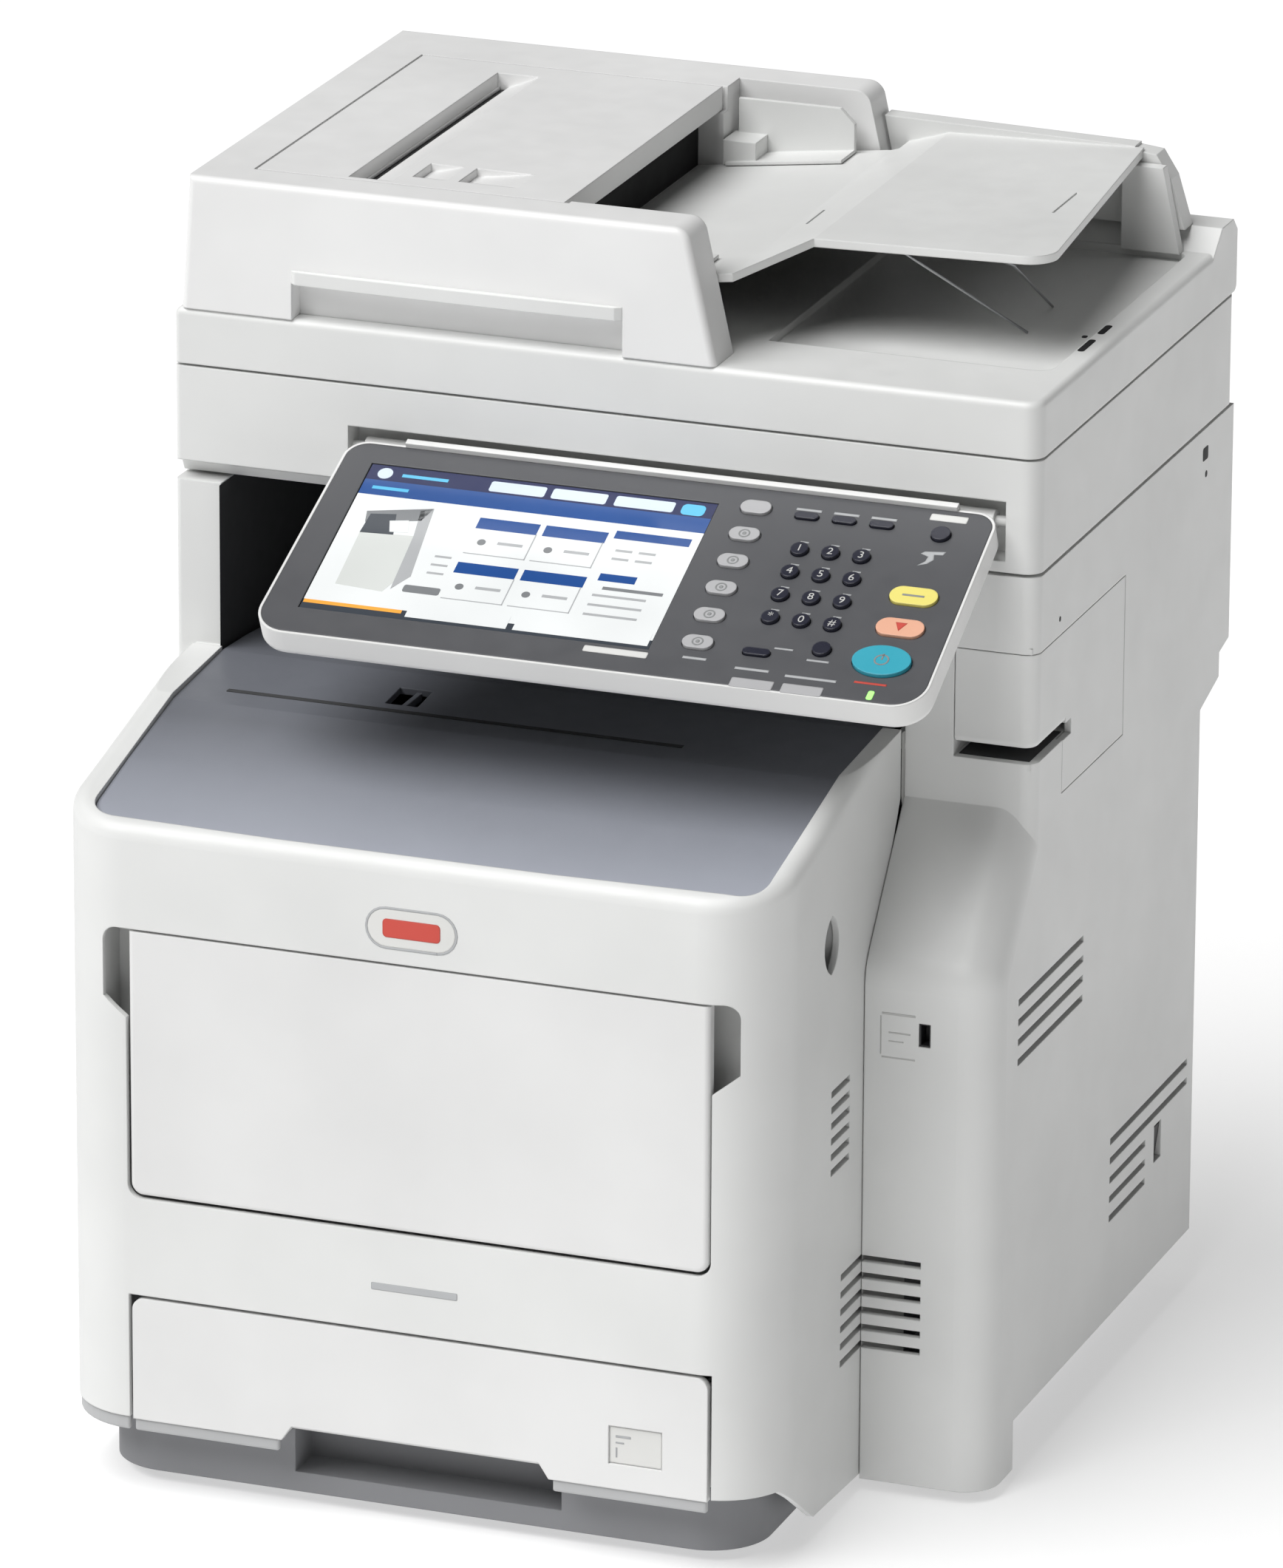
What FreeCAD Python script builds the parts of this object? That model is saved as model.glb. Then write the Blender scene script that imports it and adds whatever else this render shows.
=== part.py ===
import FreeCAD, Part
import math
import os
import re
import Sketcher

# A desktop photocopier: printer engine below, scanner with document feeder above, tilted operator
# panel in front. Millimetres, +Z up, front towards -Y, origin on the resting plane under the middle.

DIMS = {
    # overall envelope and common thicknesses
    "half_width": 261.0, "front_y": -289.0, "rear_y": 289.0,
    "wall": 4.0, "skin": 3.0, "seam": 0.5, "over": 2.0,
    # printer engine: outer faces of the front unit
    "unit_left": -249.0, "unit_right": 183.0, "unit_corner": 44.0, "body_rear": 236.0,
    "shell_bottom": 48.0, "skirt_low": 10.0, "skirt_front_y": -262.0, "skirt_rear_y": -212.0,
    "wing_rear": -119.0, "wing_heel": -128.0,
    # rim around the output tray, from the front edge back to the scanner columns
    "rim_front_z": 403.5, "rim_mid_y": -217.0, "rim_mid_z": 420.0, "rim_high_y": -150.0, "rim_high_z": 436.0,
    "rim_rear_y": -76.0, "rim_rear_z": 441.0, "rim_edge": 10.0, "rim_thick": 6.4,
    "slope_low_z": 318.0, "slope_high_z": 400.0,
    "tray_left": -230.5, "tray_right": 171.5, "tray_front": -278.0, "tray_corner": 18.0, "tray_bow": 3.0,
    # base pan and feet
    "foot_height": 8.0, "foot_radius": 13.0, "pan_top": 46.0, "pan_front": -268.0, "pan_inset": 18.0,
    "pan_side": 236.0, "pan_side_front": -86.0, "pan_side_top": 36.0, "pan_corner": 36.0,
    "notch_left": -110.0, "notch_right": 52.0, "notch_top": 56.0, "notch_depth": 26.0, "notch_floor": 20.0,
    # bypass door with its bay and finger grips
    "door_left": -201.5, "door_right": 146.5, "door_bottom": 183.5, "door_top": 341.7, "door_gap": 1.5,
    "door_thick": 8.0, "door_corner": 9.0, "door_axis_y": -286.0, "door_axis_z": 187.0, "door_foot": 3.0,
    "grip_width": 16.0, "grip_low": 301.0, "grip_slope": 11.0, "bay_side": 4.0, "bay_low": 174.0,
    "bay_high": 346.0, "bay_back": -258.0, "feed_low": 200.0, "feed_high": 214.0, "feed_inset": 40.0,
    "bore_depth": 9.0,
    # side openings of the front cover
    "lens_y": -190.0, "lens_z": 350.0, "lens_radius": 18.8, "lens_shift": 6.8,
    "cup_depth": 20.0, "cup_half_y": 15.0, "cup_half_z": 20.0,
    "lever_gap": 1.5, "lever_pivot": 4.0, "lever_pin": 1.3,
    "vent_low": 211.0, "vent_pitch": 9.4, "vent_height": 4.0, "vent_front": -188.0, "vent_back": -157.0,
    "louvre_low": 88.5, "louvre_pitch": 10.5, "louvre_height": 4.0, "louvre_front": -169.0,
    "louvre_right": 219.0, "louvre_count": 6.0,
    # paper cassette
    "cassette_left": -201.0, "cassette_right": 147.0, "cassette_low": 47.0, "cassette_top": 121.0,
    "cassette_gap": 2.0, "cassette_rear": 100.0, "bin_top": 112.0, "bin_inset": 5.0, "cassette_corner": 7.0,
    "label_left": 88.0, "label_right": 120.0, "label_low": 62.0, "label_high": 85.0, "label_depth": 1.5,
    "lift_low": 52.5, "lift_thick": 1.5, "lift_front": -266.0, "lift_rear": 88.0,
    # right side cover: interface box, column and stapler bay
    "box_front": -135.0, "box_corner": 22.0, "box_bend": 30.0,
    "box_low": 8.0, "side_low": 38.0, "side_step": -91.0,
    "column_front": -71.0, "column_left": 183.6, "column_top": 537.5, "column_corner": 9.0,
    "stapler_left": 213.0, "stapler_low": 436.0, "stapler_high": 491.8, "stapler_rear": 88.0,
    "stapler_step": -22.0, "stapler_panel_low": 396.0,
    "stapler_edge": 4.0, "stapler_block_rear": -1.0,
    "slot_low": 427.5,
    "slot_rear": -7.0, "stapler_axis_y": 86.0,
    "overhang_low": 364.0, "overhang_y": 271.0, "overhang_mid": 374.0, "overhang_ledge": 389.0,
    "overhang_high": 393.0,
    "grille_pitch": 12.0, "grille_height": 4.0, "upper_grille_low": 255.0, "upper_grille_front": -93.0,
    "upper_grille_back": 23.0, "lower_grille_low": 98.0, "lower_grille_front": 80.0,
    "lower_grille_back": 147.0, "lower_grille_far": 225.0, "side_wall": 257.0,
    # left cover and column
    "left_column_inner": -233.0, "left_column_low": 430.0,
    "left_corner": 3.0, "ledge_low": 428.0, "left_front": -117.0,
    # metal frame and inner units
    "frame_left": -226.0, "frame_right": 171.0, "frame_front": -100.0, "frame_rear": 226.0, "sheet": 3.0,
    "frame_shoulder": 405.0, "frame_head": 536.0, "cavity_rear": 112.0, "shelf_low": 124.0,
    "exit_low": 455.0, "exit_high": 476.0, "exit_inset": 20.0,
    "drum_radius": 21.0, "drum_pitch": 56.0, "drum_first_y": -64.0, "drum_z": 322.0, "drum_left": -196.0,
    "drum_right": 141.0, "toner_low": 346.0, "toner_high": 392.0, "toner_half": 20.0,
    "fuser_front": 176.0, "fuser_rear": 220.0, "fuser_low": 250.0, "fuser_high": 372.0,
    "exit_y": 124.0, "exit_z": 466.0, "shaft_radius": 4.0, "running": 0.05, "sleeve_radius": 9.0,
    "sleeve_length": 36.0, "sleeve_pitch": 84.0, "sleeve_first": -170.0,
    # output tray (top cover of the engine)
    "step_y": -130.0, "step_width": 2.0, "step_floor": 431.5, "step_left": -205.0, "step_right": 72.0,
    "finger_left": -112.0, "finger_right": -92.0, "finger_fin_top": 435.0,
    "sink": 1.0, "tray_thick": 4.0, "tray_rear": 96.0, "tray_rear_z": 424.0, "tray_dip_y": -40.0,
    "tray_dip_z": 437.0, "tray_axis_y": 93.0, "tray_axis_z": 418.0, "barrel_radius": 4.0,
    # scanner
    "scanner_low": 539.5, "scanner_top": 605.5, "scanner_corner": 10.0, "glass_half": 214.0,
    "glass_front": -44.0, "glass_rear": 251.0, "glass_thick": 4.0, "glass_ledge": 9.0,
    "channel_left": -154.5, "channel_right": 241.5, "channel_low": 546.0, "channel_high": 581.0,
    "channel_rear": -54.0, "carriage_left": -208.0, "carriage_width": 34.0, "carriage_low": 556.0,
    "carriage_high": 590.0, "lamp_width": 6.0, "lamp_depth": 3.0, "rail_radius": 4.0, "rail_z": 551.0,
    # platen lid
    "lid_low": 607.0, "lid_top": 640.0, "lid_corner": 10.0, "lid_edge": 10.0, "lid_front_edge": 4.0,
    "hinge_inset": 4.5, "pad_half": 216.0, "pad_front": -46.0, "pad_rear": 253.0, "pad_low": 606.2,
    "pad_high": 612.0, "pocket_top": 631.0, "rib": 3.0, "bulge_front": 246.0, "bulge_top": 652.0,
    "catch_left": 78.0, "catch_right": 246.0, "catch_front": -10.0, "catch_rear": 244.0, "catch_floor": 635.0,
    # document feeder body
    "feeder_left": -257.0, "feeder_front": -71.0, "feeder_rear": 262.0, "feeder_top": 719.0,
    "feeder_low_right": 68.0, "feeder_high_right": 50.0, "feeder_shoulder": 10.0,
    "feeder_corner": 9.0, "feeder_edge": 4.0, "cheek_rear": -41.0, "ridge_front": 237.0,
    "bay_left": -222.0, "bay_right": -30.0, "bay_rear": 210.0,
    "bay_floor": 652.0, "ledge_top": 704.5, "ledge_width": 8.0,
    "exit_slot_low": 644.0, "exit_slot_high": 650.0, "exit_slot_left": -120.0, "tray_room_low": 664.0,
    "handle_left": -189.0, "handle_right": 12.0, "handle_high": 662.0, "handle_depth": 13.0,
    # feeder cover and its release lever
    "cover_left": -220.5, "cover_right": -33.0, "cover_front": -44.0, "cover_rear": 216.0,
    "cover_low": 705.0, "cover_skin": 3.0, "well_left": -166.0, "well_slot": -159.5,
    "well_right": -139.5, "well_floor": 710.5, "well_front": -40.0, "well_back": 196.0,
    "release_x": -162.0, "release_width": 2.6, "release_low": 697.0, "release_high": 709.0,
    "icon_depth": 5.0, "icon_floor": 711.5, "icon_front": -27.0, "icon_rear": 2.0,
    "feed_shaft_x": -60.0, "feed_shaft_z": 688.0, "feed_radius": 11.0, "feed_shaft": 3.0, "bearing": 6.0,
    # document tray with side guides
    "plate_left": -96.0, "plate_left_z": 666.0, "plate_bend_x": 66.0, "plate_bend_z": 686.0,
    "plate_flat_x": 96.0, "plate_flat_z": 695.5, "plate_right": 238.0, "plate_right_z": 699.0,
    "plate_thick": 5.0, "plate_front": -38.0, "plate_rear": 234.0, "plate_step_y": 14.0,
    "plate_corner": 16.0, "fence_front": 250.0, "fence_top": 702.0, "fence_left": 66.3, "fence_right": 210.0,
    "fence_lean": 10.5, "plate_taper": 24.0,
    "post_left": 206.0, "post_low_right": 242.0, "post_high_right": 230.0, "post_front": 238.0,
    "guide_left": -26.0, "guide_right": 46.0,
    "guide_thick": 3.0, "guide_foot": 26.0, "guide_foot_thick": 2.0, "guide_rear_y": 228.0,
    "guide_front_y": -32.0, "guide_float": 0.6, "guide_top": 710.5,
    "guide_end": 9.0, "guide_low_top": 690.5, "guide_low_end": 2.5,
    "pinch_front": 205.0,
    "pinch_left": -28.5, "pinch_right": -8.0, "pinch_top": 690.0,
    # operator panel, in its own frame: X to the right, Y up the slope, Z out of the face
    "panel_left": -152.0, "panel_right": 239.0, "panel_length": 164.0, "panel_thick": 18.0,
    "panel_flare_left": 3.5, "panel_flare_right": 5.0, "panel_low_corner": 20.0, "ridge_left": -118.0,
    "ridge_right": 214.0, "ridge_width": 4.0, "ridge_height": 3.0,
    "panel_tilt": 24.5, "panel_y": -72.0, "panel_z": 573.5, "panel_corner": 14.0, "panel_edge": 5.0,
    "face_inset": 1.6, "face_thick": 2.5, "panel_wall": 3.0, "arm_width": 30.0,
    "screen_left": -133.0, "screen_right": 77.0, "screen_high": -17.5, "screen_low": -142.0,
    "screen_sink": 0.6, "screen_thick": 5.0, "key_gap": 0.4, "key_base": 5.5, "key_flange": 1.0,
    "key_under": 0.1, "pad_height": 1.6, "dome_height": 2.2, "hinge_up": 6.0, "hinge_down": -10.0,
    "hinge_barrel": 6.0, "hinge_pin": 3.0,
    # connectors and power switch
    "usb_x": 219.5, "usb_z": 282.0, "usb_half_x": 3.5, "usb_half_z": 7.0, "usb_depth": 12.0,
    "inlet_x": 120.0, "inlet_z": 70.0, "inlet_half_x": 14.0, "inlet_half_z": 10.0, "inlet_depth": 20.0,
    "port_x": -150.0, "port_z": 150.0, "port_half": 8.0, "port_pitch": 26.0,
    "switch_y": 170.0, "switch_z": 117.0, "switch_half_y": 6.0, "switch_half_z": 11.0,
    "switch_pivot_x": 253.0, "switch_gap": 0.6,
}

doc = FreeCAD.newDocument("photocopier")
sheet = doc.addObject("Spreadsheet::Sheet", "Dims")
for row, (alias, value) in enumerate(DIMS.items(), 1):
    sheet.set(f"A{row}", alias)
    sheet.set(f"B{row}", str(value))
    sheet.setAlias(f"B{row}", alias)
doc.recompute()

PLANES = {"XY": "XY_Plane", "XZ": "XZ_Plane", "YZ": "YZ_Plane"}
AXIS_TURN = {
    "X": FreeCAD.Rotation(FreeCAD.Vector(0, 1, 0), 90),
    "Y": FreeCAD.Rotation(FreeCAD.Vector(1, 0, 0), -90),
    "Z": FreeCAD.Rotation(),
}
nodes = []


def bound(text):
    """A size written with the sheet's aliases, as an expression FreeCAD can hold."""
    return re.sub(r"[a-z_]+", lambda word: ("Dims." if word.group() in DIMS else "") + word.group(), str(text))


def less(high, low):
    return f"({bound(high)})-({bound(low)})"


def box(name, x, y, z):
    """A block between two planes along each axis."""
    block = doc.addObject("Part::Box", name)
    for axis, length, (low, high) in zip("xyz", ("Length", "Width", "Height"), (x, y, z)):
        block.setExpression(length, less(high, low))
        block.setExpression(f"Placement.Base.{axis}", bound(low))
    return block


def rod(name, axis, centre, radius, length):
    """A cylinder that starts at centre and runs along +axis."""
    cylinder = doc.addObject("Part::Cylinder", name)
    cylinder.Placement = FreeCAD.Placement(FreeCAD.Vector(), AXIS_TURN[axis])
    for letter, value in zip("xyz", centre):
        cylinder.setExpression(f"Placement.Base.{letter}", bound(value))
    cylinder.setExpression("Radius", bound(radius))
    cylinder.setExpression("Height", bound(length))
    return cylinder


def prism(name, plane, outline, low, high, rounds=()):
    """A padded sketch: outline is a closed run of corners, rounds is a list of (edge test, radius)."""
    body = doc.addObject("PartDesign::Body", name)
    sketch = body.newObject("Sketcher::SketchObject", name + "_outline")
    origin_plane = next(item for item in body.Origin.OriginFeatures if item.Role == PLANES[plane])
    sketch.AttachmentSupport = [(origin_plane, "")]
    sketch.MapMode = "FlatFace"
    count = len(outline)
    turns = [2 * math.pi * index / count for index in range(count)]
    seeds = [FreeCAD.Vector(10 * math.cos(turn), 10 * math.sin(turn), 0) for turn in turns]
    for index, seed in enumerate(seeds):
        sketch.addGeometry(Part.LineSegment(seed, seeds[(index + 1) % count]), False)
    for index in range(count):
        sketch.addConstraint(Sketcher.Constraint("Coincident", index, 2, (index + 1) % count, 1))
    for index, (across, up) in enumerate(outline):
        for kind, size, seed in (("DistanceX", across, seeds[index].x), ("DistanceY", up, seeds[index].y)):
            number = sketch.addConstraint(Sketcher.Constraint(kind, -1, 1, index, 1, seed))
            sketch.setExpression(f"Constraints[{number}]", bound(size))
    # the XZ plane looks along -Y, so its offset is counted backwards from the far end
    start = f"-({bound(high)})" if plane == "XZ" else bound(low)
    sketch.setExpression("AttachmentOffset.Base.z", start)
    feature = body.newObject("PartDesign::Pad", name + "_pad")
    feature.Profile = sketch
    feature.setExpression("Length", less(high, low))
    for step, (test, radius) in enumerate(rounds):
        doc.recompute()
        edges = [f"Edge{i}" for i, edge in enumerate(feature.Shape.Edges, 1) if test(edge, feature.Shape)]
        rounding = body.newObject("PartDesign::Fillet", f"{name}_round_{step}")
        rounding.Base = (feature, edges)
        rounding.setExpression("Radius", bound(radius))
        feature = rounding
    body.Tip = feature
    return body


def runs_along(edge, axis):
    size = edge.BoundBox
    spans = {"X": size.XLength, "Y": size.YLength, "Z": size.ZLength}
    return spans.pop(axis) > 0.01 and max(spans.values()) < 1e-4


def edges_at(axis, *sides):
    """Edges along axis that lie on every named side of the solid, such as left and front."""
    def test(edge, shape):
        spot, limit = edge.BoundBox.Center, shape.BoundBox
        place = {
            "left": abs(spot.x - limit.XMin), "right": abs(spot.x - limit.XMax),
            "front": abs(spot.y - limit.YMin), "rear": abs(spot.y - limit.YMax),
            "low": abs(spot.z - limit.ZMin), "high": abs(spot.z - limit.ZMax),
        }
        return runs_along(edge, axis) and all(place[side] < 1e-4 for side in sides)
    return test


def either(*tests):
    return lambda edge, shape: any(test(edge, shape) for test in tests)


def fuse(name, *pieces):
    union = doc.addObject("Part::MultiFuse", name)
    union.Shapes = list(pieces)
    union.Refine = True
    return union


def cut(name, base, *tools):
    difference = doc.addObject("Part::Cut", name)
    difference.Base = base
    difference.Tool = tools[0] if len(tools) == 1 else fuse(name + "_tools", *tools)
    difference.Refine = True
    return difference


def common(name, first, second):
    overlap = doc.addObject("Part::Common", name)
    overlap.Base = first
    overlap.Tool = second
    return overlap


def node(label, piece):
    """Gives a finished sub-part its own label and puts it on the export list."""
    piece.Label = label
    nodes.append(piece)
    return piece


def on_panel(piece):
    """Moves a piece drawn in the panel's own frame to the tilted panel."""
    piece.Placement = FreeCAD.Placement(FreeCAD.Vector(), FreeCAD.Rotation(FreeCAD.Vector(1, 0, 0), 1))
    piece.setExpression("Placement.Rotation.Angle", bound("panel_tilt"))
    piece.setExpression("Placement.Base.y", bound("panel_y"))
    piece.setExpression("Placement.Base.z", bound("panel_z"))
    return piece


def slats(name, count, x, y, low, pitch, height):
    """A ladder of equal openings, one above the other."""
    return [box(f"{name}_{i}", x, y, (f"{low}+{i}*{pitch}", f"{low}+{i}*{pitch}+{height}")) for i in range(count)]


# ---------------------------------------------------------------- printer engine

def base_frame():
    pan = prism("pan", "XY", [
        ("unit_left+pan_inset", "pan_front"), ("unit_right-pan_inset", "pan_front"),
        ("unit_right-pan_inset", "body_rear-wall"), ("unit_left+pan_inset", "body_rear-wall")],
        "foot_height", "pan_top", [(edges_at("Z", "front"), "pan_corner")])
    side = box("pan_side_block", ("unit_right-pan_inset-over", "pan_side"),
               ("pan_side_front", "body_rear-wall"), ("foot_height", "pan_side_top"))
    hand = box("pan_hand_room", ("notch_left", "notch_right"), ("pan_front-over", "pan_front+notch_depth"),
               ("notch_floor", "pan_top+over"))
    return node("base_frame", cut("base_frame_cut", fuse("base_frame_blocks", pan, side), hand))


def feet():
    spots = [("unit_left+48", "pan_front+42"), ("unit_right-48", "pan_front+42"), ("unit_left+48", "body_rear-40"),
             ("pan_side-30", "body_rear-40"), ("pan_side-30", "pan_side_front+34")]
    pads = [rod(f"foot_{i}", "Z", (x, y, 0), "foot_radius", "foot_height") for i, (x, y) in enumerate(spots)]
    return node("feet", fuse("feet_group", *pads))


def inner_frame():
    outline = [("frame_front", "pan_top"), ("frame_rear", "pan_top"), ("frame_rear", "frame_head"),
               ("cavity_rear-sheet", "frame_head"), ("cavity_rear-sheet", "frame_shoulder"),
               ("frame_front", "frame_shoulder")]
    left = prism("frame_left_plate", "YZ", outline, "frame_left", "frame_left+sheet")
    right = prism("frame_right_plate", "YZ", outline, "frame_right-sheet", "frame_right")
    inside = ("frame_left+sheet", "frame_right-sheet")
    rear = box("frame_rear_plate", inside, ("frame_rear-sheet", "frame_rear"), ("pan_top", "frame_head"))
    shelf = box("frame_shelf", inside, ("frame_front", "frame_rear"), ("shelf_low", "shelf_low+sheet"))
    screen = box("frame_exit_wall", inside, ("cavity_rear-sheet", "cavity_rear"), ("frame_shoulder", "frame_head"))
    slot = box("frame_exit_slot", ("frame_left+exit_inset", "frame_right-exit_inset"),
               ("cavity_rear-sheet-over", "cavity_rear+over"), ("exit_low", "exit_high"))
    bore = rod("frame_exit_bore", "X", ("frame_left-over", "exit_y", "exit_z"), "shaft_radius+running",
               "frame_right-frame_left+2*over")
    return node("inner_frame", cut("inner_frame_cut", fuse("frame_plates", left, right, rear, shelf, screen),
                                   slot, bore))


def exit_roller():
    shaft = rod("exit_shaft", "X", ("frame_left", "exit_y", "exit_z"), "shaft_radius", "frame_right-frame_left")
    sleeves = [rod(f"exit_sleeve_{i}", "X", (f"sleeve_first+{i}*sleeve_pitch", "exit_y", "exit_z"),
                   "sleeve_radius", "sleeve_length") for i in range(4)]
    return node("exit_roller", fuse("exit_roller_set", shaft, *sleeves))


def imaging_unit():
    """Four drum cartridges, each a drum below its toner box."""
    cartridges = []
    for i in range(4):
        middle = f"drum_first_y+{i}*drum_pitch"
        drum = rod(f"drum_{i}", "X", ("drum_left", middle, "drum_z"), "drum_radius", "drum_right-drum_left")
        toner = box(f"toner_{i}", ("drum_left", "drum_right"), (f"{middle}-toner_half", f"{middle}+toner_half"),
                    ("drum_z", "toner_high"))
        cartridges.append(fuse(f"cartridge_{i}", drum, toner))
    return node("imaging_unit", fuse("imaging_unit_set", *cartridges))


def fuser_unit():
    housing = prism("fuser_housing", "YZ", [
        ("fuser_front", "fuser_low"), ("fuser_rear", "fuser_low"), ("fuser_rear", "fuser_high"),
        ("fuser_front+12", "fuser_high"), ("fuser_front", "fuser_high-20")], "drum_left", "drum_right")
    path = box("fuser_path", ("drum_left+20", "drum_right-20"), ("fuser_front+14", "fuser_front+20"),
               ("fuser_low-over", "fuser_high+over"))
    return node("fuser_unit", cut("fuser_unit_cut", housing, path))


def front_cover():
    outline = [("front_y", "shell_bottom"), ("front_y", "rim_front_z"), ("rim_mid_y", "rim_mid_z"),
               ("rim_high_y", "rim_high_z"), ("rim_rear_y", "rim_rear_z"), ("rim_rear_y", "slope_high_z"),
               ("wing_rear", "slope_low_z"), ("wing_rear", "shell_bottom"), ("wing_heel", "skirt_low"),
               ("skirt_rear_y", "skirt_low+4"), ("skirt_front_y", "shell_bottom")]
    shell = prism("front_shell", "YZ", outline, "unit_left", "unit_right", [
        (either(edges_at("Z", "left", "front"), edges_at("Z", "right", "front")), "unit_corner"),
        (lambda edge, shape: edge.BoundBox.ZMin > DIMS["rim_front_z"] - 1
         and edge.BoundBox.YMax < DIMS["rim_rear_y"] - 1 and edge.BoundBox.YMin < DIMS["rim_mid_y"], "rim_edge")])
    hollow = prism("front_hollow", "YZ", [
        ("front_y+wall", "-over"), ("front_y+wall", "rim_front_z-rim_thick"), ("rim_mid_y", "rim_mid_z-rim_thick"),
        ("rim_high_y", "rim_high_z-rim_thick"), ("rim_rear_y+over", "rim_rear_z-rim_thick"),
        ("rim_rear_y+over", "-over")],
        "unit_left+wall", "unit_right-wall",
        [(either(edges_at("Z", "left", "front"), edges_at("Z", "right", "front")), "unit_corner-wall")])
    top = prism("front_tray_opening", "XY", tray_outline("seam") + [
        ("tray_right+seam", "rim_rear_y+over"), ("tray_left-seam", "rim_rear_y+over")],
        "rim_front_z-30", "rim_rear_z+over", [(tray_corners, "tray_corner")])
    bay = common("front_bay", shell, box(
        "front_bay_block", ("door_left-grip_width-bay_side", "door_right+grip_width+bay_side"),
        ("front_y+wall-1", "bay_back"), ("bay_low", "bay_high")))
    bay_room = common("front_bay_room", hollow, box(
        "front_bay_inside", ("door_left-grip_width-bay_side+skin", "door_right+grip_width+bay_side-skin"),
        ("front_y+wall-1", "bay_back-skin"), ("bay_low+skin", "bay_high-skin")))
    door_hole = prism("front_door_hole", "XZ", [
        ("door_left-door_gap", "door_bottom-door_gap-seam"), ("door_right+door_gap", "door_bottom-door_gap-seam"),
        ("door_right+door_gap", "grip_low-grip_slope"), ("door_right+grip_width", "grip_low"),
        ("door_right+grip_width", "door_top+door_gap"), ("door_left-grip_width", "door_top+door_gap"),
        ("door_left-grip_width", "grip_low"), ("door_left-door_gap", "grip_low-grip_slope")],
        "front_y-over", "front_y+wall+bore_depth",
        [(either(edges_at("Y", "low"), edges_at("Y", "high")), "door_corner")])
    feed = box("front_feed_slot", ("door_left+feed_inset", "door_right-feed_inset"),
               ("bay_back-skin-over", "bay_back+over"), ("feed_low", "feed_high"))
    cassette_hole = box("front_cassette_hole", ("cassette_left-cassette_gap", "cassette_right+cassette_gap"),
                        ("front_y-over", "front_y+wall+over"), ("-over", "cassette_top+cassette_gap"))
    cup = box("lens_cup", ("unit_right-cup_depth", "unit_right-wall+1"), ("lens_y-cup_half_y", "lens_y+cup_half_y"),
              ("lens_z-cup_half_z", "lens_z+cup_half_z"))
    cup_room = box("lens_cup_room", ("unit_right-cup_depth+over", "unit_right-wall"),
                   ("lens_y-cup_half_y+over", "lens_y+cup_half_y-over"),
                   ("lens_z-cup_half_z+over", "lens_z+cup_half_z-over"))
    lens = common("lens_hole",
                  rod("lens_front", "X", ("unit_right-wall-1", "lens_y-lens_shift", "lens_z"), "lens_radius", "wall+3"),
                  rod("lens_back", "X", ("unit_right-wall-1", "lens_y+lens_shift", "lens_z"), "lens_radius", "wall+3"))
    side = ("unit_right-wall-1", "unit_right+1")
    vents = slats("front_vent", 6, side, ("vent_front", "vent_back"), "vent_low", "vent_pitch", "vent_height")
    louvres = slats("front_louvre", 6, side, ("louvre_front", "wing_rear-4"), "louvre_low", "louvre_pitch",
                    "louvre_height")
    hollowed = cut("front_walls", shell, hollow, top)
    solid = fuse("front_built", hollowed, bay, cup)
    return node("front_cover", cut("front_cover_cut", solid, bay_room, door_hole, feed, cassette_hole, cup_room,
                                   lens, *vents, *louvres))


def cover_lever():
    """Finger paddle inside the lens-shaped opening on the right of the front cover."""
    near = rod("lever_front", "X", ("unit_right-13", "lens_y-lens_shift", "lens_z"), "lens_radius-lever_gap", "skin")
    far = rod("lever_back", "X", ("unit_right-13", "lens_y+lens_shift", "lens_z"), "lens_radius-lever_gap", "skin")
    pivot = rod("lever_pivot", "Z", ("unit_right-11.5", "lens_y-lever_pivot", "lens_z-cup_half_z+over+0.3"), "lever_pin",
                "2*cup_half_z-2*over-0.6")
    return node("cover_lever", fuse("cover_lever_set", common("cover_lever_paddle", near, far), pivot))


def bypass_door():
    door = prism("door_panel", "XZ", [
        ("door_left", "door_bottom"), ("door_right", "door_bottom"), ("door_right", "door_top"),
        ("door_left", "door_top")], "front_y", "front_y+door_thick", [
        (edges_at("Y", "low"), "door_corner-door_gap"),
        (edges_at("X", "front", "low"), "door_foot")])
    panel = box("door_inner_recess", ("door_left+12", "door_right-12"), ("front_y+door_thick-skin", "front_y+9"),
                ("door_bottom+16", "door_top-12"))
    return node("bypass_door", cut("bypass_door_cut", door, panel))


def tray_outline(grow):
    """Front run of the tray's outline, bowed forward in the middle; grow widens it for the opening."""
    return [(f"tray_left-{grow}", f"tray_front-{grow}"), ("tray_left*0.5", f"tray_front-tray_bow-{grow}"),
            ("tray_right*0.3", f"tray_front-tray_bow-{grow}"), (f"tray_right+{grow}", f"tray_front-{grow}")]


def tray_corners(edge, shape):
    """The two upright edges at the front ends of the tray's outline."""
    spot, limit = edge.BoundBox.Center, shape.BoundBox
    at_side = min(abs(spot.x - limit.XMin), abs(spot.x - limit.XMax)) < 1e-4
    return runs_along(edge, "Z") and at_side and spot.y < DIMS["tray_front"] + 1


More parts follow.
